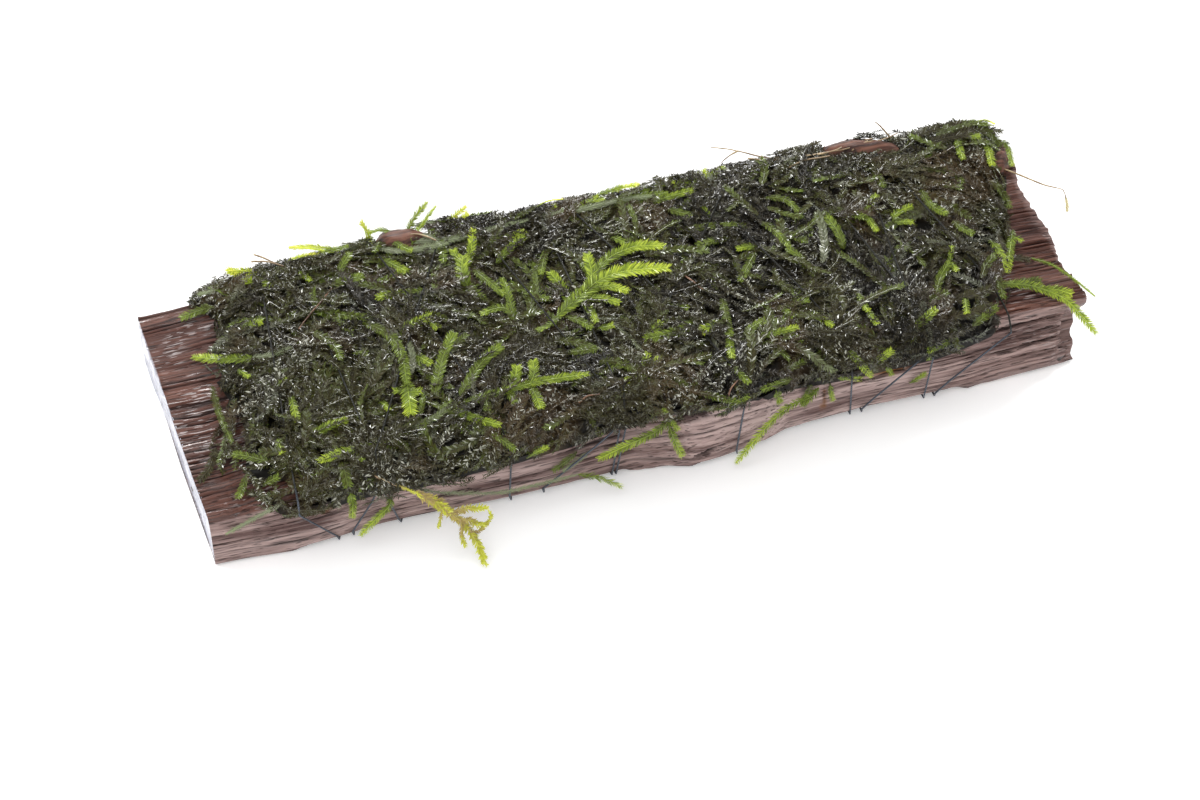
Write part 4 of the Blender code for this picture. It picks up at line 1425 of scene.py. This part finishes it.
FREE_SHOOTS = (
    FreeShoot("drooping_shoot", BRIGHT, 1.35 * MM, ((
        (0.0340, -0.0318, 0.0150), (0.0318, -0.0330, 0.0140), (0.0275, -0.0340, 0.0141),
        (0.0235, -0.0352, 0.0128), (0.0198, -0.0360, 0.0092), (0.0170, -0.0363, 0.0055),
        (0.0149, -0.0362, 0.0021)),), ruffle=0.6),
    FreeShoot("front_shoot_left", BRIGHT, 1.25 * MM, ((
        (-0.0580, -0.0340, 0.0128), (-0.0588, -0.0356, 0.0116), (-0.0612, -0.0358, 0.0093),
        (-0.0634, -0.0357, 0.0067), (-0.0651, -0.0354, 0.0042)),)),
    FreeShoot("front_shoot_far_left", LIME, 1.2 * MM, ((
        (-0.0655, -0.0335, 0.0145), (-0.0660, -0.0349, 0.0132), (-0.0662, -0.0352, 0.0118),
        (-0.0664, -0.0352, 0.0100)),)),
    FreeShoot("front_shoot_long", LIME, 1.5 * MM, ((
        (0.0010, -0.0338, 0.0175), (-0.0025, -0.0354, 0.0165), (-0.0060, -0.0358, 0.0156),
        (-0.0107, -0.0358, 0.0140), (-0.0147, -0.0354, 0.0119)),)),
    FreeShoot("front_shoot_hanging", LIME, 1.4 * MM, ((
        (0.0004, -0.0340, 0.0170), (0.0008, -0.0357, 0.0152), (0.0014, -0.0360, 0.0132),
        (0.0022, -0.0362, 0.0106), (0.0031, -0.0362, 0.0080)),)),
    FreeShoot("broken_end_shoot", BRIGHT, 1.5 * MM, (
        ((0.0780, -0.0205, 0.0226), (0.0832, -0.0222, 0.0224), (0.0868, -0.0246, 0.0221),
         (0.0902, -0.0278, 0.0213), (0.0926, -0.0316, 0.0192), (0.0945, -0.0352, 0.0172)),
        ((0.0862, -0.0242, 0.0221), (0.0890, -0.0252, 0.0222), (0.0918, -0.0268, 0.0216)))),
    FreeShoot("broken_end_needle", LIME, 0.7 * MM, ((
        (0.0880, -0.0140, 0.0212), (0.0908, -0.0178, 0.0222), (0.0936, -0.0221, 0.0218),
        (0.0976, -0.0267, 0.0192)),)),
    FreeShoot("back_shoot_tall", BRIGHT, 1.3 * MM, ((
        (-0.0390, 0.0300, 0.0190), (-0.0381, 0.0321, 0.0204), (-0.0369, 0.0326, 0.0228),
        (-0.0351, 0.0329, 0.0250), (-0.0333, 0.0331, 0.0268)),)),
    FreeShoot("back_shoot_short", YELLOW, 1.2 * MM, ((
        (-0.0300, 0.0300, 0.0195), (-0.0288, 0.0320, 0.0209), (-0.0274, 0.0321, 0.0225),
        (-0.0250, 0.0321, 0.0242)),)),
    FreeShoot("back_shoot_level", YELLOW, 1.1 * MM, ((
        (-0.0525, 0.0310, 0.0175), (-0.0546, 0.0332, 0.0182), (-0.0570, 0.0338, 0.0190),
        (-0.0604, 0.0341, 0.0199), (-0.0640, 0.0345, 0.0200)),)),
    FreeShoot("back_shoot_upright", YELLOW, 1.1 * MM, ((
        (-0.0460, 0.0312, 0.0182), (-0.0465, 0.0332, 0.0194), (-0.0469, 0.0340, 0.0214),
        (-0.0480, 0.0346, 0.0236)),)),
    FreeShoot("sawn_end_shoot", YELLOW, 1.4 * MM, ((
        (-0.0710, 0.0290, 0.0172), (-0.0735, 0.0314, 0.0182), (-0.0752, 0.0320, 0.0187),
        (-0.0778, 0.0323, 0.0190)),), ruffle=0.6),
    FreeShoot("golden_sprig", GOLD, 1.2 * MM, (
        ((-0.0532, -0.0372, 0.0156), (-0.0505, -0.0388, 0.0142), (-0.0473, -0.0402, 0.0110)),
        ((-0.0520, -0.0382, 0.0150), (-0.0505, -0.0388, 0.0142), (-0.0473, -0.0402, 0.0110),
         (-0.0448, -0.0418, 0.0080), (-0.0432, -0.0437, 0.0052), (-0.0424, -0.0458, 0.0031),
         (-0.0424, -0.0478, 0.0018)),
        ((-0.0473, -0.0402, 0.0110), (-0.0438, -0.0409, 0.0119), (-0.0399, -0.0413, 0.0115)),
        ((-0.0462, -0.0408, 0.0096), (-0.0432, -0.0421, 0.0090), (-0.0406, -0.0430, 0.0080)),
        ((-0.0484, -0.0396, 0.0122), (-0.0494, -0.0404, 0.0100), (-0.0501, -0.0411, 0.0080)),
        ((-0.0440, -0.0428, 0.0066), (-0.0418, -0.0432, 0.0072), (-0.0398, -0.0430, 0.0094),
         (-0.0394, -0.0424, 0.0112)),
        ((-0.0452, -0.0416, 0.0086), (-0.0458, -0.0430, 0.0062), (-0.0454, -0.0444, 0.0044)),
        ((-0.0585, -0.0318, 0.0158), (-0.0570, -0.0340, 0.0164), (-0.0552, -0.0360, 0.0163),
         (-0.0532, -0.0373, 0.0156), (-0.0508, -0.0386, 0.0143))),
        slot="golden_moss", ruffle=0.95, strands=2, shape=LeafShape.FINE,
        scales=(1.45, 1.25, 1.0, 1.0, 0.6, 0.7, 0.8, 0.5)),
)


@dataclass(frozen=True)
class WiryStem:
    """A bare stem in its CAD node's place: its thickness and the routes of its branches."""

    node: str
    radius: float
    routes: tuple[Route, ...]


WIRY_STEMS = (
    WiryStem("broken_end_runner", 0.18 * MM, ((
        (0.0905, 0.0150, 0.0214), (0.0935, 0.0118, 0.0222), (0.0968, 0.0080, 0.0222),
        (0.0990, 0.0062, 0.0217), (0.1012, 0.0053, 0.0212), (0.1031, 0.0048, 0.0204),
        (0.1034, 0.0032, 0.0192)),)),
    WiryStem("back_runner", 0.19 * MM, (
        ((0.0500, 0.0288, 0.0222), (0.0462, 0.0296, 0.0226), (0.0436, 0.0304, 0.0226),
         (0.0413, 0.0312, 0.0230), (0.0385, 0.0322, 0.0238), (0.0349, 0.0334, 0.0247),
         (0.0311, 0.0344, 0.0254)),
        ((0.0370, 0.0327, 0.0242), (0.0346, 0.0320, 0.0238), (0.0328, 0.0315, 0.0230)))),
    WiryStem("back_stem_stub", 0.20 * MM, ((
        (0.0735, 0.0292, 0.0204), (0.0716, 0.0311, 0.0222), (0.0704, 0.0321, 0.0236),
        (0.0692, 0.0328, 0.0248)),)),
)
RUNNER_TIP = ((0.1034, 0.0036, 0.0194), (0.1033, 0.0022, 0.0183), (0.1029, 0.0010, 0.0174))
TRAILING_STRAND = (
    (-0.0540, -0.0340, 0.0148), (-0.0500, -0.0358, 0.0135), (-0.0425, -0.0362, 0.0110),
    (-0.0355, -0.0366, 0.0095), (-0.0275, -0.0358, 0.0086), (-0.0190, -0.0350, 0.0080),
    (-0.0135, -0.0354, 0.0052), (-0.0101, -0.0364, 0.0027))


@dataclass(frozen=True)
class BareSpot:
    """An ellipse of the reference view where wood or bark shows through the mat.

    With a rise, bark lies on the mat's own surface, and without one the mat is open.
    """

    x: float
    y: float
    half_width: float
    half_height: float
    rise: float = 0.0

    def inside(self, place: Place) -> float:
        """How far inside a place of the view lies: 1 at the middle, and 0 or less outside."""
        across = (place[0] - self.x) / self.half_width
        return 1 - across ** 2 - ((place[1] - self.y) / self.half_height) ** 2


BARE_SPOTS = (
    BareSpot(405, 242, 30, 9, 0.0019), BareSpot(862, 150, 40, 7, 0.0016),
    BareSpot(1008, 162, 14, 14, 0.0013), BareSpot(1016, 208, 11, 36),
    BareSpot(205, 440, 30, 62), BareSpot(232, 500, 30, 30), BareSpot(283, 486, 24, 14),
    BareSpot(232, 452, 12, 40), BareSpot(200, 380, 20, 30), BareSpot(985, 305, 28, 12),
    BareSpot(1012, 270, 14, 30),
)


@dataclass(frozen=True)
class Growth:
    """One sowing of matted shoots: how many, where their patterns come from, and their sizes.

    Its look holds the tint at base and tip, and how much both change from place to place.
    """

    count: int
    seeds: tuple[int, int]
    look: Triple
    length: Place
    leaf: Place
    raised: float = 0.0
    strays: float = 0.09


@dataclass
class MossMat:
    """The mat: a dark bed, thousands of matted shoots, and the clear green ones on top."""

    view: Viewpoint
    bed_sink: float = 0.0014
    bed_root: float = 0.0009
    bed_hidden: float = 0.0012
    bed_lump: float = 0.0007
    bark_lump: float = 0.0004
    touching: float = 0.0008
    dark: Growth = Growth(3900, (31, 32), (0.14, 0.25, 0.17), (0.006, 0.015), (0.0008, 0.0013))
    cover: Growth = Growth(1250, (35, 32), (0.16, 0.27, 0.16), (0.004, 0.009), (0.0008, 0.0012),
                           strays=0.0)
    ends: Growth = Growth(210, (37, 32), (0.18, 0.32, 0.18), (0.005, 0.012), (0.0009, 0.0014),
                          strays=1.0)
    green: Growth = Growth(430, (33, 34), (0.33, 0.49, 0.15), (0.006, 0.015), (0.0010, 0.0016),
                           raised=0.0006)
    cover_height: float = 0.0155
    end_places: Place = (-0.0640, 0.0800)
    end_height: float = 0.012
    highest: Place = (0.0015, 0.0021)
    stray_lifts: Place = (0.0004, 0.0007)
    step: float = 0.0009
    reach: float = 0.0017
    stray_reach: float = 0.0050
    around: float = 0.0016
    seed: int = 7
    spans: tuple[float, ...] = (-0.100, -0.052, -0.014, 0.024, 0.058, 0.100)
    pixel: float = 0.21 * MM
    stem_radius: float = 0.20 * MM
    matted: Leafing = Leafing(0.42 * MM, spread=0.85, ruffle=0.55, stem_radius=0.09 * MM,
                              stem_step=1.4 * MM)
    fine: Leafing = Leafing(0.34 * MM)
    clear: Leafing = Leafing(0.17 * MM, lift=0.16, ruffle=0.24, stem_radius=0.15 * MM,
                             stem_step=0.5 * MM, stem_sides=5)
    skins: dict[str, Skin] = field(default_factory=dict)

    def _bare(self, point: Vector) -> BareSpot | None:
        """The bare spot that a point lies in, if any."""
        place = self.view.place(point)
        return next((spot for spot in BARE_SPOTS if spot.inside(place) > 0), None)

    def _bed(self, node: Object, finish: Material) -> Object:
        """The dark layer under the shoots, from a merged copy of the CAD mat: the mat's own dark base,
        coloured near black as painted shade between the shoots.

        Args:
            node: the CAD mat.
            finish: its material.

        Returns:
            The piece.
        """
        work = bmesh.new()
        work.from_mesh(node.data)
        bmesh.ops.remove_doubles(work, verts=work.verts, dist=1e-6)
        for _ in range(2):
            bmesh.ops.subdivide_edges(work, edges=work.edges, cuts=1, use_grid_fill=True)
        work.normal_update()
        places = np.array([vert.co for vert in work.verts])
        lump = SmoothNoise(21).at(places, 0.004) + 0.5 * SmoothNoise(22).at(places, 0.0016)
        moved, bark = [], []
        for vert, high in zip(work.verts, lump.tolist()):
            surface, normal, away = self.skins["wood"].nearest(vert.co)
            bare = self._bare(vert.co)
            bark.append(float(bare is not None and bare.rise > 0))
            if bare is not None and not bare.rise:
                moved.append(surface - normal * self.bed_hidden)
            elif away < self.touching:
                moved.append(vert.co + vert.normal * self.bed_root)
            elif bare is None:
                moved.append(vert.co + vert.normal * (self.bed_lump * high - self.bed_sink))
            else:
                share = min(1.0, 1.6 * bare.inside(self.view.place(vert.co))) ** 0.5
                rise = share * bare.rise + self.bark_lump * high
                moved.append(vert.co + Vector((0, 0.2, 1)) * rise)
        for vert, place in zip(work.verts, moved):
            vert.co = place
        data = bpy.data.meshes.new("moss_bed")
        work.to_mesh(data)
        work.free()
        # Near-black tint: the dark base, partly painted shade in the gaps between shoots.
        set_values(finished(data, finish), "tint", 0.02 + 0.05 * lump)
        set_values(data, "bark", np.array(bark))
        return put("moss_bed", data)

    def _creep(self, start: Vector, heading: Vector, length: float, lifts: Place, bend: float,
               stray: bool) -> tuple[np.ndarray, np.ndarray] | None:
        """Grow a line over mat and wood.

        Args:
            start: a place on the mat.
            heading: the first direction.
            length: how far to grow.
            lifts: height over the surface at the base and at the tip.
            bend: turn for each step, in radians.
            stray: let it run out over bare wood.

        Returns:
            Its points and outward directions, or None if it is too short.
        """
        points, facing = [], []
        place, steps = start, max(3, round(length / self.step))
        for number in range(steps + 1):
            surface, normal, _ = self.skins["both"].nearest(place)
            off_mat = self.skins["mat"].nearest(surface)[2]
            bare = self._bare(surface)
            if off_mat > (self.stray_reach if stray else self.reach):
                break
            if bare is not None and (bare.rise or not stray):
                break
            height = lifts[0] + (lifts[1] - lifts[0]) * number / steps
            points.append(surface + normal * height)
            facing.append(normal)
            heading = (heading - normal * heading.dot(normal)).normalized()
            side = normal.cross(heading)
            heading = (heading + side * bend).normalized()
            place = surface + normal * 0.0004 + heading * self.step
        if len(points) < 4:
            return None
        return smooth_rows(np.array(points), 1), smooth_rows(np.array(facing), 2)

    def _scatter(self, growth: Growth, rng: np.random.Generator, over: np.ndarray | None = None
                 ) -> list[Stem]:
        """Scatter creeping shoots over the mat.

        Args:
            growth: how many shoots, and their sizes.
            rng: the source of chance.
            over: places that the shoots start around, or None for the whole mat.

        Returns:
            The shoots.
        """
        stems = []
        low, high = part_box("moss_mat")
        tops, tones, flows = (SmoothNoise(seed) for seed in (*growth.seeds, 36))
        while len(stems) < growth.count:
            x = rng.uniform(low.x, high.x)
            y = rng.uniform(low.y - 0.001, high.y + 0.001)
            if over is not None:
                x, y = over[rng.integers(len(over))][:2] + rng.normal(0, self.around, 2)
            hit = self.skins["mat"].cast(Vector((x, y, 0.05)), Vector((0, 0, -1)))
            flow = flows.at_one(x, y, 0.017, 0.011)
            angle = 0.2 + 2.4 * flow + rng.normal(0, 0.40) + (math.pi if rng.random() < 0.4 else 0)
            span = rng.uniform(*growth.length)
            chances = rng.random(6)
            if hit is None:
                continue
            top = tops.at_one(x, y, 0.009, 0.0065)
            tone = tones.at_one(x, y, 0.013, 0.010)
            base_lift = min(growth.raised - 0.0009 + 0.0018 * top + 0.0009 * chances[0],
                            self.highest[0])
            tip_lift = min(base_lift + 0.0016 * (chances[1] - 0.35), self.highest[1])
            stray = rng.random() < growth.strays
            if stray:
                base_lift, tip_lift = self.stray_lifts
            elif over is not None:
                base_lift = 0.0009 + 0.0007 * chances[0]
                tip_lift = 0.0013 + 0.0007 * chances[1]
            grown = self._creep(hit[0], Vector((math.cos(angle), math.sin(angle), 0.0)), span,
                                (base_lift, tip_lift), (chances[2] - 0.5) * 0.22, stray)
            if grown is None:
                continue
            points, facing = grown
            facing = facing + (rng.random(3) - 0.5) * 1.1
            base, tip, change = growth.look
            shift = change * (tone + 0.7 * (chances[3] - 0.5)) - 0.03 * min(1.0, max(0.0, x / 0.04))
            leaf = growth.leaf[0] + (growth.leaf[1] - growth.leaf[0]) * chances[4]
            # A few shoots drawn pale: partly their own colour, partly painted sheen.
            pale = 0.3 * max(0.0, chances[5] - 0.92) / 0.08
            stem = Stem.with_look(points, facing, leaf, (base + shift, tip + shift, pale))
            stems.append(replace(stem, girth=0.8))
        return stems

    def _brush(self, place: Place) -> tuple[Vector, Vector]:
        """Find where a ray that misses the object passes nearest to it.

        Args:
            place: x and y in the reference view.

        Returns:
            The point on the ray, and the surface's normal beside it.
        """
        view, skin = self.view, self.skins["both"]
        steps = [view.eye + view.ray(place) * (view.distance + shift * MM)
                 for shift in range(-90, 110, 2)]
        best = min(steps, key=lambda point: skin.nearest(point)[2])
        return best, skin.nearest(best)[1]

    def _marked(self, mark: Mark, rng: np.random.Generator) -> Stem:
        """Lay one clear shoot on the surface that shows behind its line.

        Args:
            mark: the shoot.
            rng: the source of chance.

        Returns:
            The shoot's stem.
        """
        eye = self.view.eye
        path = smooth_route(np.array(mark.line, float), 12)
        rays = [self.view.ray(place) for place in path]
        hits = [self.skins["both"].cast(eye, ray) for ray in rays]
        known = [number for number, hit in enumerate(hits) if hit is not None]
        if not known:
            hits, known = [self._brush(path[0])], [0]
        nearest = [hits[min(known, key=lambda other: abs(other - number))]
                   for number in range(len(path))]
        depths = smooth_rows(np.array([[(surface - eye).length] for surface, _ in nearest]), 3)[:, 0]
        rise = np.linspace(0.75, 1.15, len(path)) * mark.lift * MM
        rise[0] *= 0.3
        points = np.array([eye + ray * (depth - height)
                           for ray, depth, height in zip(rays, depths, rise)])
        facing = np.array([normal for _, normal in nearest])
        lean = facing * 0.8 + np.array([-ray for ray in rays]) * 0.6 + (rng.random(3) - 0.5) * 0.35
        leaf = mark.width * self.pixel / 2 / math.sin(self.clear.spread)
        stem = Stem.with_look(points, smooth_rows(lean, 2), leaf, mark.look.value)
        return replace(stem, tint=stem.tint + (rng.random() - 0.5) * 0.05)

    def build(self, nodes: dict[str, Object], maker: LeafMaker, finishes: Finishes) -> None:
        """Make the mat's pieces.

        Args:
            nodes: the CAD nodes.
            maker: what sets leaves on stems.
            finishes: the materials.
        """
        wood, mat = nodes["driftwood"], nodes["moss_mat"]
        self.skins = {"wood": Skin(wood), "mat": Skin(mat), "both": Skin(wood, mat)}
        declare(self._bed(mat, finishes.moss), "matted_moss", "moss_mat")
        rng = np.random.default_rng(self.seed)
        thread, edge = (np.array([vert.co for vert in nodes[name].data.vertices])
                        for name in ("binding_thread", "moss_mat"))
        thread = thread[thread[:, 2] > self.cover_height]
        outer = (edge[:, 0] < self.end_places[0]) | (edge[:, 0] > self.end_places[1])
        edge = edge[outer & (edge[:, 2] > self.end_height)]
        dark = self._scatter(self.dark, rng)
        dark += self._scatter(self.cover, rng, thread)
        dark += self._scatter(self.ends, rng, edge)
        for number, (low, high) in enumerate(zip(self.spans, self.spans[1:]), start=1):
            part = [stem for stem in dark if low <= stem.points[0, 0] < high]
            declare(maker.grow(f"matted_shoots_{number}", part, LeafShape.FINE, finishes.moss,
                               self.matted, 40 + number), "matted_moss", "moss_mat")
        green = self._scatter(self.green, rng)
        declare(maker.grow("green_shoots", green, LeafShape.FINE, finishes.moss, self.fine, 51),
                "matted_moss", "moss_mat")
        for seed, (name, group) in enumerate(CLEAR_SHOOTS.items(), start=60):
            stems = [self._marked(mark, rng) for mark in group]
            declare(maker.grow(name, stems, LeafShape.FULL, finishes.fresh, self.clear, seed),
                    "fresh_moss", "moss_mat")
        for name, group, finish in (("brown_stems", BROWN_STEMS, finishes.root),
                                    ("tan_stems", TAN_STEMS, finishes.stem)):
            lines = [self._marked(mark, rng).points for mark in group]
            declare(wiry_piece(name, lines, self.stem_radius, finish), "moss_stem", "moss_mat")


def wiry_piece(name: str, lines: list[np.ndarray], radius: float, finish: Material) -> Object:
    """Make thin crooked stems that taper to their tips.

    Args:
        name: the piece's name.
        lines: the points of each branch.
        radius: the stems' radius at their bases.
        finish: the material.

    Returns:
        The piece, a plain mesh.
    """
    curve = bpy.data.curves.new(name + "_line", "CURVE")
    curve.dimensions = "3D"
    curve.bevel_depth = radius
    curve.bevel_resolution = 2
    curve.use_fill_caps = True
    for number, line in enumerate(lines):
        line = smooth_route(line, 30)
        line = line + 0.7 * radius * np.column_stack([
            SmoothNoise(70 + 3 * number + axis).at(line, 0.0022) for axis in range(3)])
        girth = np.linspace(1.15, 0.65, len(line)) + 0.18 * SmoothNoise(90).at(line, 0.0014)
        spline = curve.splines.new("POLY")
        spline.points.add(len(line) - 1)
        for point, place, size in zip(spline.points, line, girth):
            point.co = (*place, 1.0)
            point.radius = size
    source = put(name + "_line", curve)
    graph = bpy.context.evaluated_depsgraph_get()
    data = bpy.data.meshes.new_from_object(source.evaluated_get(graph))
    bpy.data.objects.remove(source)
    bpy.data.curves.remove(curve)
    data.name = name
    return put(name, finished(data, finish))


@dataclass
class SingleShoots:
    """The shoots and bare stems that stand clear of the mat, each in its CAD node's place."""

    facing: Triple = (-0.15, -0.75, 0.65)
    tangle: float = 0.42 * MM
    full: Leafing = Leafing(0.17 * MM, lift=0.18, stem_radius=0.16 * MM, stem_step=0.5 * MM,
                            stem_sides=6)
    fine_spacing: float = 0.30 * MM
    trailing: Leafing = Leafing(0.24 * MM, 0.6, 0.15, 0.60, stem_step=0.5 * MM, stem_sides=6)
    bud: Leafing = Leafing(0.20 * MM, 0.5, 0.1, 0.3, stem_radius=0.2 * MM)

    def _stem(self, route: Route, look: Look, leaf: float) -> Stem:
        """One line with leaves facing out and up."""
        points = smooth_route(route, len(route) * 4)
        return Stem.with_look(points, np.tile(self.facing, (len(points), 1)), leaf, look.value)

    def build(self, maker: LeafMaker, finishes: Finishes) -> None:
        """Make every single shoot.

        Args:
            maker: what sets leaves on stems.
            finishes: the materials.
        """
        for number, shoot in enumerate(FREE_SHOOTS):
            scales = shoot.scales or (1.0,) * len(shoot.routes)
            stems = [self._stem(route, shoot.look, shoot.leaf * scale)
                     for route, scale in zip(shoot.routes, scales)]
            rng = np.random.default_rng(number)
            for stem in stems[:] * (shoot.strands - 1):
                points = stem.points + rng.normal(0, self.tangle, stem.points.shape)
                stems.append(replace(stem, points=smooth_rows(points, 1), leaf=stem.leaf * 0.8))
            leafing = replace(self.full, ruffle=shoot.ruffle)
            if shoot.shape is LeafShape.FINE:
                leafing = replace(leafing, spacing=self.fine_spacing)
            finish = finishes.gold if shoot.look is GOLD else finishes.fresh
            piece = maker.grow(shoot.node + "_leafy", stems, shoot.shape, finish, leafing, 80 + number)
            declare(piece, shoot.slot, shoot.node)
        strand = [self._stem(TRAILING_STRAND[:-2], GHOST, 1.0 * MM),
                  self._stem(TRAILING_STRAND[-3:], BRIGHT, 1.4 * MM)]
        declare(maker.grow("trailing_shoot_leafy", strand, LeafShape.FULL, finishes.fresh,
                           self.trailing, 99), "fresh_moss", "trailing_shoot")
        for stem in WIRY_STEMS:
            lines = [smooth_route(route, len(route) * 4) for route in stem.routes]
            declare(wiry_piece(stem.node + "_wiry", lines, stem.radius, finishes.stem),
                    "moss_stem", stem.node)
        declare(maker.grow("runner_bud", [self._stem(RUNNER_TIP, PALE, 1.0 * MM)], LeafShape.FULL,
                           finishes.gold, self.bud, 98), "moss_stem", "broken_end_runner")


@dataclass(frozen=True)
class Lamp:
    """One square soft light, aimed at the object."""

    name: str
    place: Triple
    size: float
    power: float

    def make(self) -> None:
        """Make the light."""
        data = bpy.data.lights.new(self.name, "AREA")
        data.shape = "SQUARE"
        data.size = self.size
        data.energy = self.power
        light = put(self.name, data)
        light.location = self.place
        light.rotation_mode = "QUATERNION"
        light.rotation_quaternion = (-Vector(self.place)).to_track_quat("-Z", "Y")


@dataclass
class Studio:
    """White floor, dim surround, a wide soft light overhead and small bright ones behind."""

    floor_size: float = 3.0
    floor_tone: float = 0.92
    floor_glow: float = 0.22
    surround: float = 0.50
    lamps: tuple[Lamp, ...] = (
        Lamp("overhead_light", (-0.25, -0.30, 1.30), 1.50, 11.0),
        Lamp("front_light", (-0.35, -1.30, 0.55), 0.80, 5.0),
        Lamp("back_light", (0.10, 0.95, 0.50), 0.36, 7.0),
        Lamp("left_glint_light", (-0.75, 0.45, 0.50), 0.26, 4.0),
        Lamp("right_glint_light", (0.70, 0.35, 0.60), 0.22, 3.5),
    )

    def build(self) -> None:
        """Make the floor, the world and the lights."""
        half = self.floor_size
        data = bpy.data.meshes.new("floor")
        data.from_pydata([(-half, -half, 0), (half, -half, 0), (half, half, 0), (-half, half, 0)],
                         [], [(0, 1, 2, 3)])
        material, _, _ = principled("pale_floor", {
            "Base Color": grey(self.floor_tone), "Roughness": 0.9, "Emission Color": grey(1.0),
            "Emission Strength": self.floor_glow})
        data.materials.append(material)
        put("floor", data)
        world = bpy.data.worlds.new("white_surround")
        world.use_nodes = True
        sky = world.node_tree.nodes["Background"].inputs
        sky["Color"].default_value = grey(1.0)
        sky["Strength"].default_value = self.surround
        bpy.context.scene.world = world
        bpy.context.scene.view_settings.view_transform = "Standard"
        for lamp in self.lamps:
            lamp.make()


def main() -> None:
    """Build every piece around the CAD frame."""
    logging.basicConfig(level=logging.INFO, format="%(message)s")
    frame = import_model()
    nodes = frame["nodes"]
    view = Viewpoint()
    view.make_camera()
    finishes = Finishes()
    maker = LeafMaker()
    Driftwood().build(nodes["driftwood"], finishes.wood)
    MossMat(view).build(nodes, maker, finishes)
    SingleShoots().build(maker, finishes)
    for name in ("binding_thread", "thread_knot"):
        nodes[name].material_slots[0].material = finishes.thread
    maker.discard_leaves()
    Studio().build()


if __name__ == "__main__":
    main()
